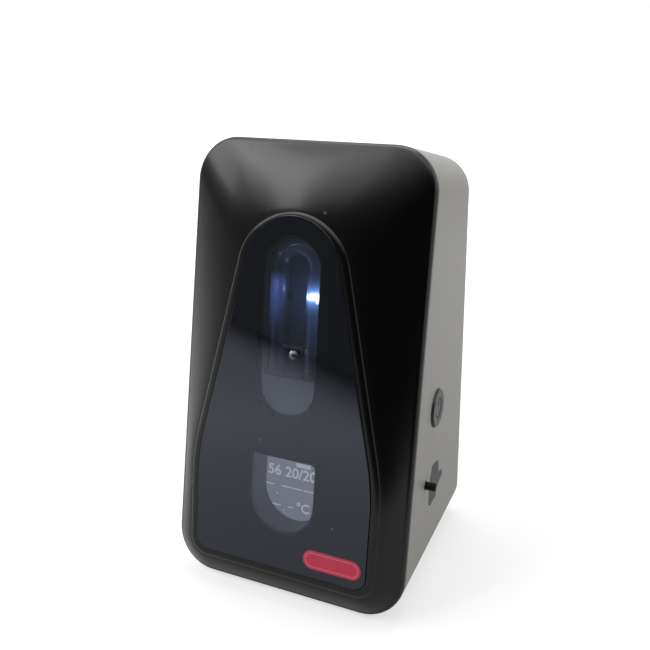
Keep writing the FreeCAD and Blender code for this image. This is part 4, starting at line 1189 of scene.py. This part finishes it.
def make_screws(metal):
    """The rear cover's four screws as a plain mesh, from the node tree's result."""
    f = fascia()
    sizes = bpy.context.scene.meter_screws
    group = screw_tree()
    values = {key: getattr(sizes, key) for key in ScrewSizes.__annotations__}
    values.update(span=f.back_width - 2 * sizes.inset, rise=back_height() - 2 * sizes.inset, plane=f.depth / 2,
                  middle=f.lift + back_height() / 2, metal=metal)
    holder = add_object("screws", bpy.data.meshes.new("screws"))
    modifier = holder.modifiers.new("screws", "NODES")
    modifier.node_group = group
    for socket in group.interface.items_tree:
        if socket.in_out == "INPUT":
            modifier[socket.identifier] = values[socket.name]
    return evaluated_mesh("screws", holder, Matrix())


# Studio


# Two points on the line where the floor ends in mirrors, and half the floor's size, in metres
FLOOR_EDGE = ((-0.216, -0.626), (-0.674, -1.166))
FLOOR_REACH = 6.0


def floor_axes():
    """Point on the floor's edge, the direction along it and the one across it, towards the meter."""
    near, far = [Vector((*point, 0)) for point in FLOOR_EDGE]
    along = (near - far).normalized()
    return near, along, Vector((-along.y, along.x, 0))


def rays(tree):
    """1 for what the camera sees directly, and 1 for what a mirror or glass does."""
    path = tree.tree.nodes.new("ShaderNodeLightPath")
    camera, glossy, through = [Level(tree, path.outputs[name])
                               for name in ("Is Camera Ray", "Is Glossy Ray", "Is Transmission Ray")]
    return camera, glossy.at_least(through)


def floor_finish():
    """Pale floor: white to the camera but for the shadow, and fading along its edge in mirrors."""
    studio = bpy.context.scene.meter_studio
    finish = Finish("pale floor", Roughness=0.8, Specular_IOR_Level=0.2)
    near, along, across = floor_axes()
    past_edge = finish.reach(finish.spot, across) - near.dot(across)
    held = past_edge.eased(-studio.floor_soft, studio.floor_soft)
    distance = finish.node("ShaderNodeVectorMath", {"operation": "LENGTH"}, {0: finish.spot}, "Value")
    white = distance.eased(0.1, studio.floor_far).at_least(1 - held)
    white = studio.floor_near + (1 - studio.floor_near) * white
    # In mirrors the floor is darker near the meter, a painted shade, and dims a little far off
    mirrored = studio.floor_near * (0.35 + 0.65 * distance.eased(0.08, 0.45))
    mirrored = mirrored * (1 - 0.3 * distance.eased(0.35, 0.7))
    camera, seen = rays(finish)
    cloud = finish.noise(3.0, 2.0)
    pale = finish.mix(cloud, (0.55, 0.55, 0.56), (0.58, 0.58, 0.59))
    finish.set(Base_Color=finish.mix(held, (0.01, 0.01, 0.012), pale),
               Emission_Color=finish.mix(camera * white + seen * held * mirrored, (0, 0, 0), (1, 1, 1)),
               Emission_Strength=1.0)
    return finish.material


def make_floor():
    """Floor that ends along a slanting line on the camera's side."""
    near, along, across = floor_axes()
    edge = near - across * bpy.context.scene.meter_studio.floor_soft
    a = edge + along * FLOOR_REACH
    b = edge - along * FLOOR_REACH
    mesh = bpy.data.meshes.new("floor")
    corners = [a, a + across * 2 * FLOOR_REACH, b + across * 2 * FLOOR_REACH, b]
    mesh.from_pydata([tuple(p) for p in corners], [], [(0, 1, 2, 3)])
    floor = add_object("floor", mesh)
    mesh.materials.append(floor_finish())


LAMP_TARGET = Vector((0, 0, 0.08))
# Soft boxes: azimuth from the front to the right and elevation in degrees, distance, width and height in
# metres, and roll in degrees
LAMPS = {
    "overhead": (200.0, 72.0, 1.1, 0.8, 0.6, 0.0),
    "streak": (-41.0, 44.0, 1.4, 0.28, 0.85, 26.0),
    "high_left": (-68.0, 37.0, 1.4, 0.5, 0.72, 0.0),
    "left": (-120.0, 6.0, 1.2, 1.0, 0.4, 0.0),
    "right": (112.0, 30.0, 1.2, 0.9, 0.8, 0.0),
}


def add_lamp(name, level, azimuth, elevation, distance, width, height, roll):
    """Soft box of a given radiance that faces the meter and isn't seen itself."""
    turn = math.radians(azimuth)
    rise = math.radians(elevation)
    out = Vector((math.sin(turn) * math.cos(rise), -math.cos(turn) * math.cos(rise), math.sin(rise)))
    lamp = bpy.data.lights.new(name, "AREA")
    lamp.shape = "RECTANGLE"
    lamp.size = width
    lamp.size_y = height
    lamp.energy = level * math.pi * width * height
    holder = add_object(name, lamp)
    holder.location = LAMP_TARGET + out * distance
    facing = (-out).to_track_quat("-Z", "Y").to_matrix() @ Matrix.Rotation(math.radians(roll), 3, "Z")
    holder.rotation_euler = facing.to_euler()
    holder.visible_camera = False


def make_lamps():
    for name, placing in LAMPS.items():
        add_lamp(name, getattr(bpy.context.scene.meter_studio, name), *placing)


def make_world():
    """Room that is white to the camera, and in mirrors white behind the meter and dim in front of it."""
    studio = bpy.context.scene.meter_studio
    world = bpy.data.worlds.new("room")
    bpy.context.scene.world = world
    world.use_nodes = True
    background = world.node_tree.nodes["Background"]
    tree = Tree(world.node_tree)
    direction = tree.node("ShaderNodeTexCoord", {}, {}, "Generated")
    across = tree.axis(direction, "X")
    back = tree.axis(direction, "Y").eased(0.05, 0.3).at_least(across.eased(0.86, 0.97))
    room = studio.room_left + (studio.room_right - studio.room_left) * across.eased(-0.55, 0.0)
    room = room + tree.axis(direction, "Z").eased(0.5, 0.95) * studio.ceiling
    camera, seen = rays(tree)
    level = studio.ambient + camera * (1 - studio.ambient) + seen * (room + (1 - room) * back - studio.ambient)
    tree.join(background.inputs["Strength"], level)
    background.inputs["Color"].default_value = (1, 1, 1, 1)


# The camera's place in metres and its directions
CAMERA_PLACE = Vector((0.117066, -0.252177, 0.197966))
CAMERA_RIGHT = Vector((0.90924, 0.41601, -0.01499))
CAMERA_DOWN = Vector((0.13584, -0.33055, -0.93396))
CAMERA_AHEAD = Vector((-0.39349, 0.84715, -0.35706))


def make_camera():
    lens = bpy.data.cameras.new("camera")
    lens.lens = bpy.context.scene.meter_studio.lens
    lens.sensor_width = 36.0
    lens.clip_start = 0.01
    lens.clip_end = 50.0
    camera = add_object("camera", lens)
    turn = Matrix((CAMERA_RIGHT, -CAMERA_DOWN, -CAMERA_AHEAD)).transposed().to_4x4()
    camera.matrix_world = Matrix.Translation(CAMERA_PLACE) @ turn
    bpy.context.scene.camera = camera


# Operators


class MakeFinishes(bpy.types.Operator):
    """Gives every carried-over piece its finish"""
    bl_idname = "meter.finishes"
    bl_label = "Finishes"

    def execute(self, context):
        for row in frame["record"]["subparts"]:
            node = frame["nodes"][row["node"]]
            finish = finish_for(row["material_slot"])
            if not node.data.materials:
                node.data.materials.append(finish)
            for slot in node.material_slots:
                slot.material = finish
        return {"FINISHED"}


class MakeFascia(bpy.types.Operator):
    """Builds the black front"""
    bl_idname = "meter.fascia"
    bl_label = "Front"

    def execute(self, context):
        new_piece("fascia", make_fascia(), finish_for("black_gloss"), "housing", "black_gloss", "front_fascia")
        return {"FINISHED"}


class MakePane(bpy.types.Operator):
    """Builds the glass pane and its badge"""
    bl_idname = "meter.pane"
    bl_label = "Pane"

    def execute(self, context):
        new_piece("pane", make_pane(), finish_for("tinted_glass"), "housing", "tinted_glass", "glass_panel")
        badge, line = make_badge()
        new_piece("badge", badge, printed("red print", chosen("badge")).material, "housing", None)
        new_piece("badge_line", line, printed("line print", chosen("badge_line")).material, "housing", None)
        return {"FINISHED"}


class MakeDisplay(bpy.types.Operator):
    """Draws the lit figures on the screen"""
    bl_idname = "meter.display"
    bl_label = "Display"

    def execute(self, context):
        new_piece("display_marks", make_display_marks(), lit_marks().material, "housing", None)
        return {"FINISHED"}


class MakeSideFittings(bpy.types.Operator):
    """Builds the button, the plug and the signs of the right wall"""
    bl_idname = "meter.side_fittings"
    bl_label = "Side fittings"

    def execute(self, context):
        sign = moulded("grey sign", chosen("sign"), 0.5, 1500.0, 0.00002).material
        power = moulded("power sign", chosen("power"), 0.5, 1500.0, 0.00002, shine=0.2).material
        new_piece("button", make_button(), finish_for("button_grey"), "button", "button_grey", "power_button")
        new_piece("power_sign", make_power_sign(), power, "button", None)
        new_piece("charge_sign", make_charge_sign(), sign, "housing", None)
        new_piece("plug", make_plug(), finish_for("black_rubber"), "plug", "black_rubber", "port_plug")
        return {"FINISHED"}


class MakeScrews(bpy.types.Operator):
    """Sets the rear cover's screws"""
    bl_idname = "meter.screws"
    bl_label = "Rear screws"

    def execute(self, context):
        metal = finish_for("steel")
        new_piece("cover_screws", make_screws(metal), metal, "housing", "steel", "rear_cover_screws")
        return {"FINISHED"}


class MakeStudio(bpy.types.Operator):
    """Sets up floor, lamps, room and camera"""
    bl_idname = "meter.studio"
    bl_label = "Studio"

    def execute(self, context):
        make_floor()
        make_lamps()
        make_world()
        make_camera()
        context.scene.view_settings.view_transform = "Standard"
        return {"FINISHED"}


class MeterPanel(bpy.types.Panel):
    """Lists the steps and sizes of the meter"""
    bl_idname = "VIEW3D_PT_meter"
    bl_label = "Density meter"
    bl_space_type = "VIEW_3D"
    bl_region_type = "UI"
    bl_category = "Meter"

    def draw(self, context):
        for step in STEPS:
            self.layout.operator(step.bl_idname)
        for name, group in GROUPS.items():
            box = self.layout.box()
            box.label(text=group.__doc__)
            for key in group.__annotations__:
                box.prop(getattr(context.scene, name), key)


STEPS = (MakeFinishes, MakeFascia, MakePane, MakeDisplay, MakeSideFittings, MakeScrews, MakeStudio)


def register():
    for name, group in GROUPS.items():
        bpy.utils.register_class(group)
        setattr(bpy.types.Scene, name, PointerProperty(type=group))
    for made in (*STEPS, MeterPanel):
        bpy.utils.register_class(made)


def unregister():
    for made in reversed((*STEPS, MeterPanel)):
        bpy.utils.unregister_class(made)
    for name, group in reversed(GROUPS.items()):
        delattr(bpy.types.Scene, name)
        bpy.utils.unregister_class(group)


def main():
    register()
    for step in STEPS:
        group, name = step.bl_idname.split(".")
        getattr(getattr(bpy.ops, group), name)()


if __name__ == "__main__":
    main()
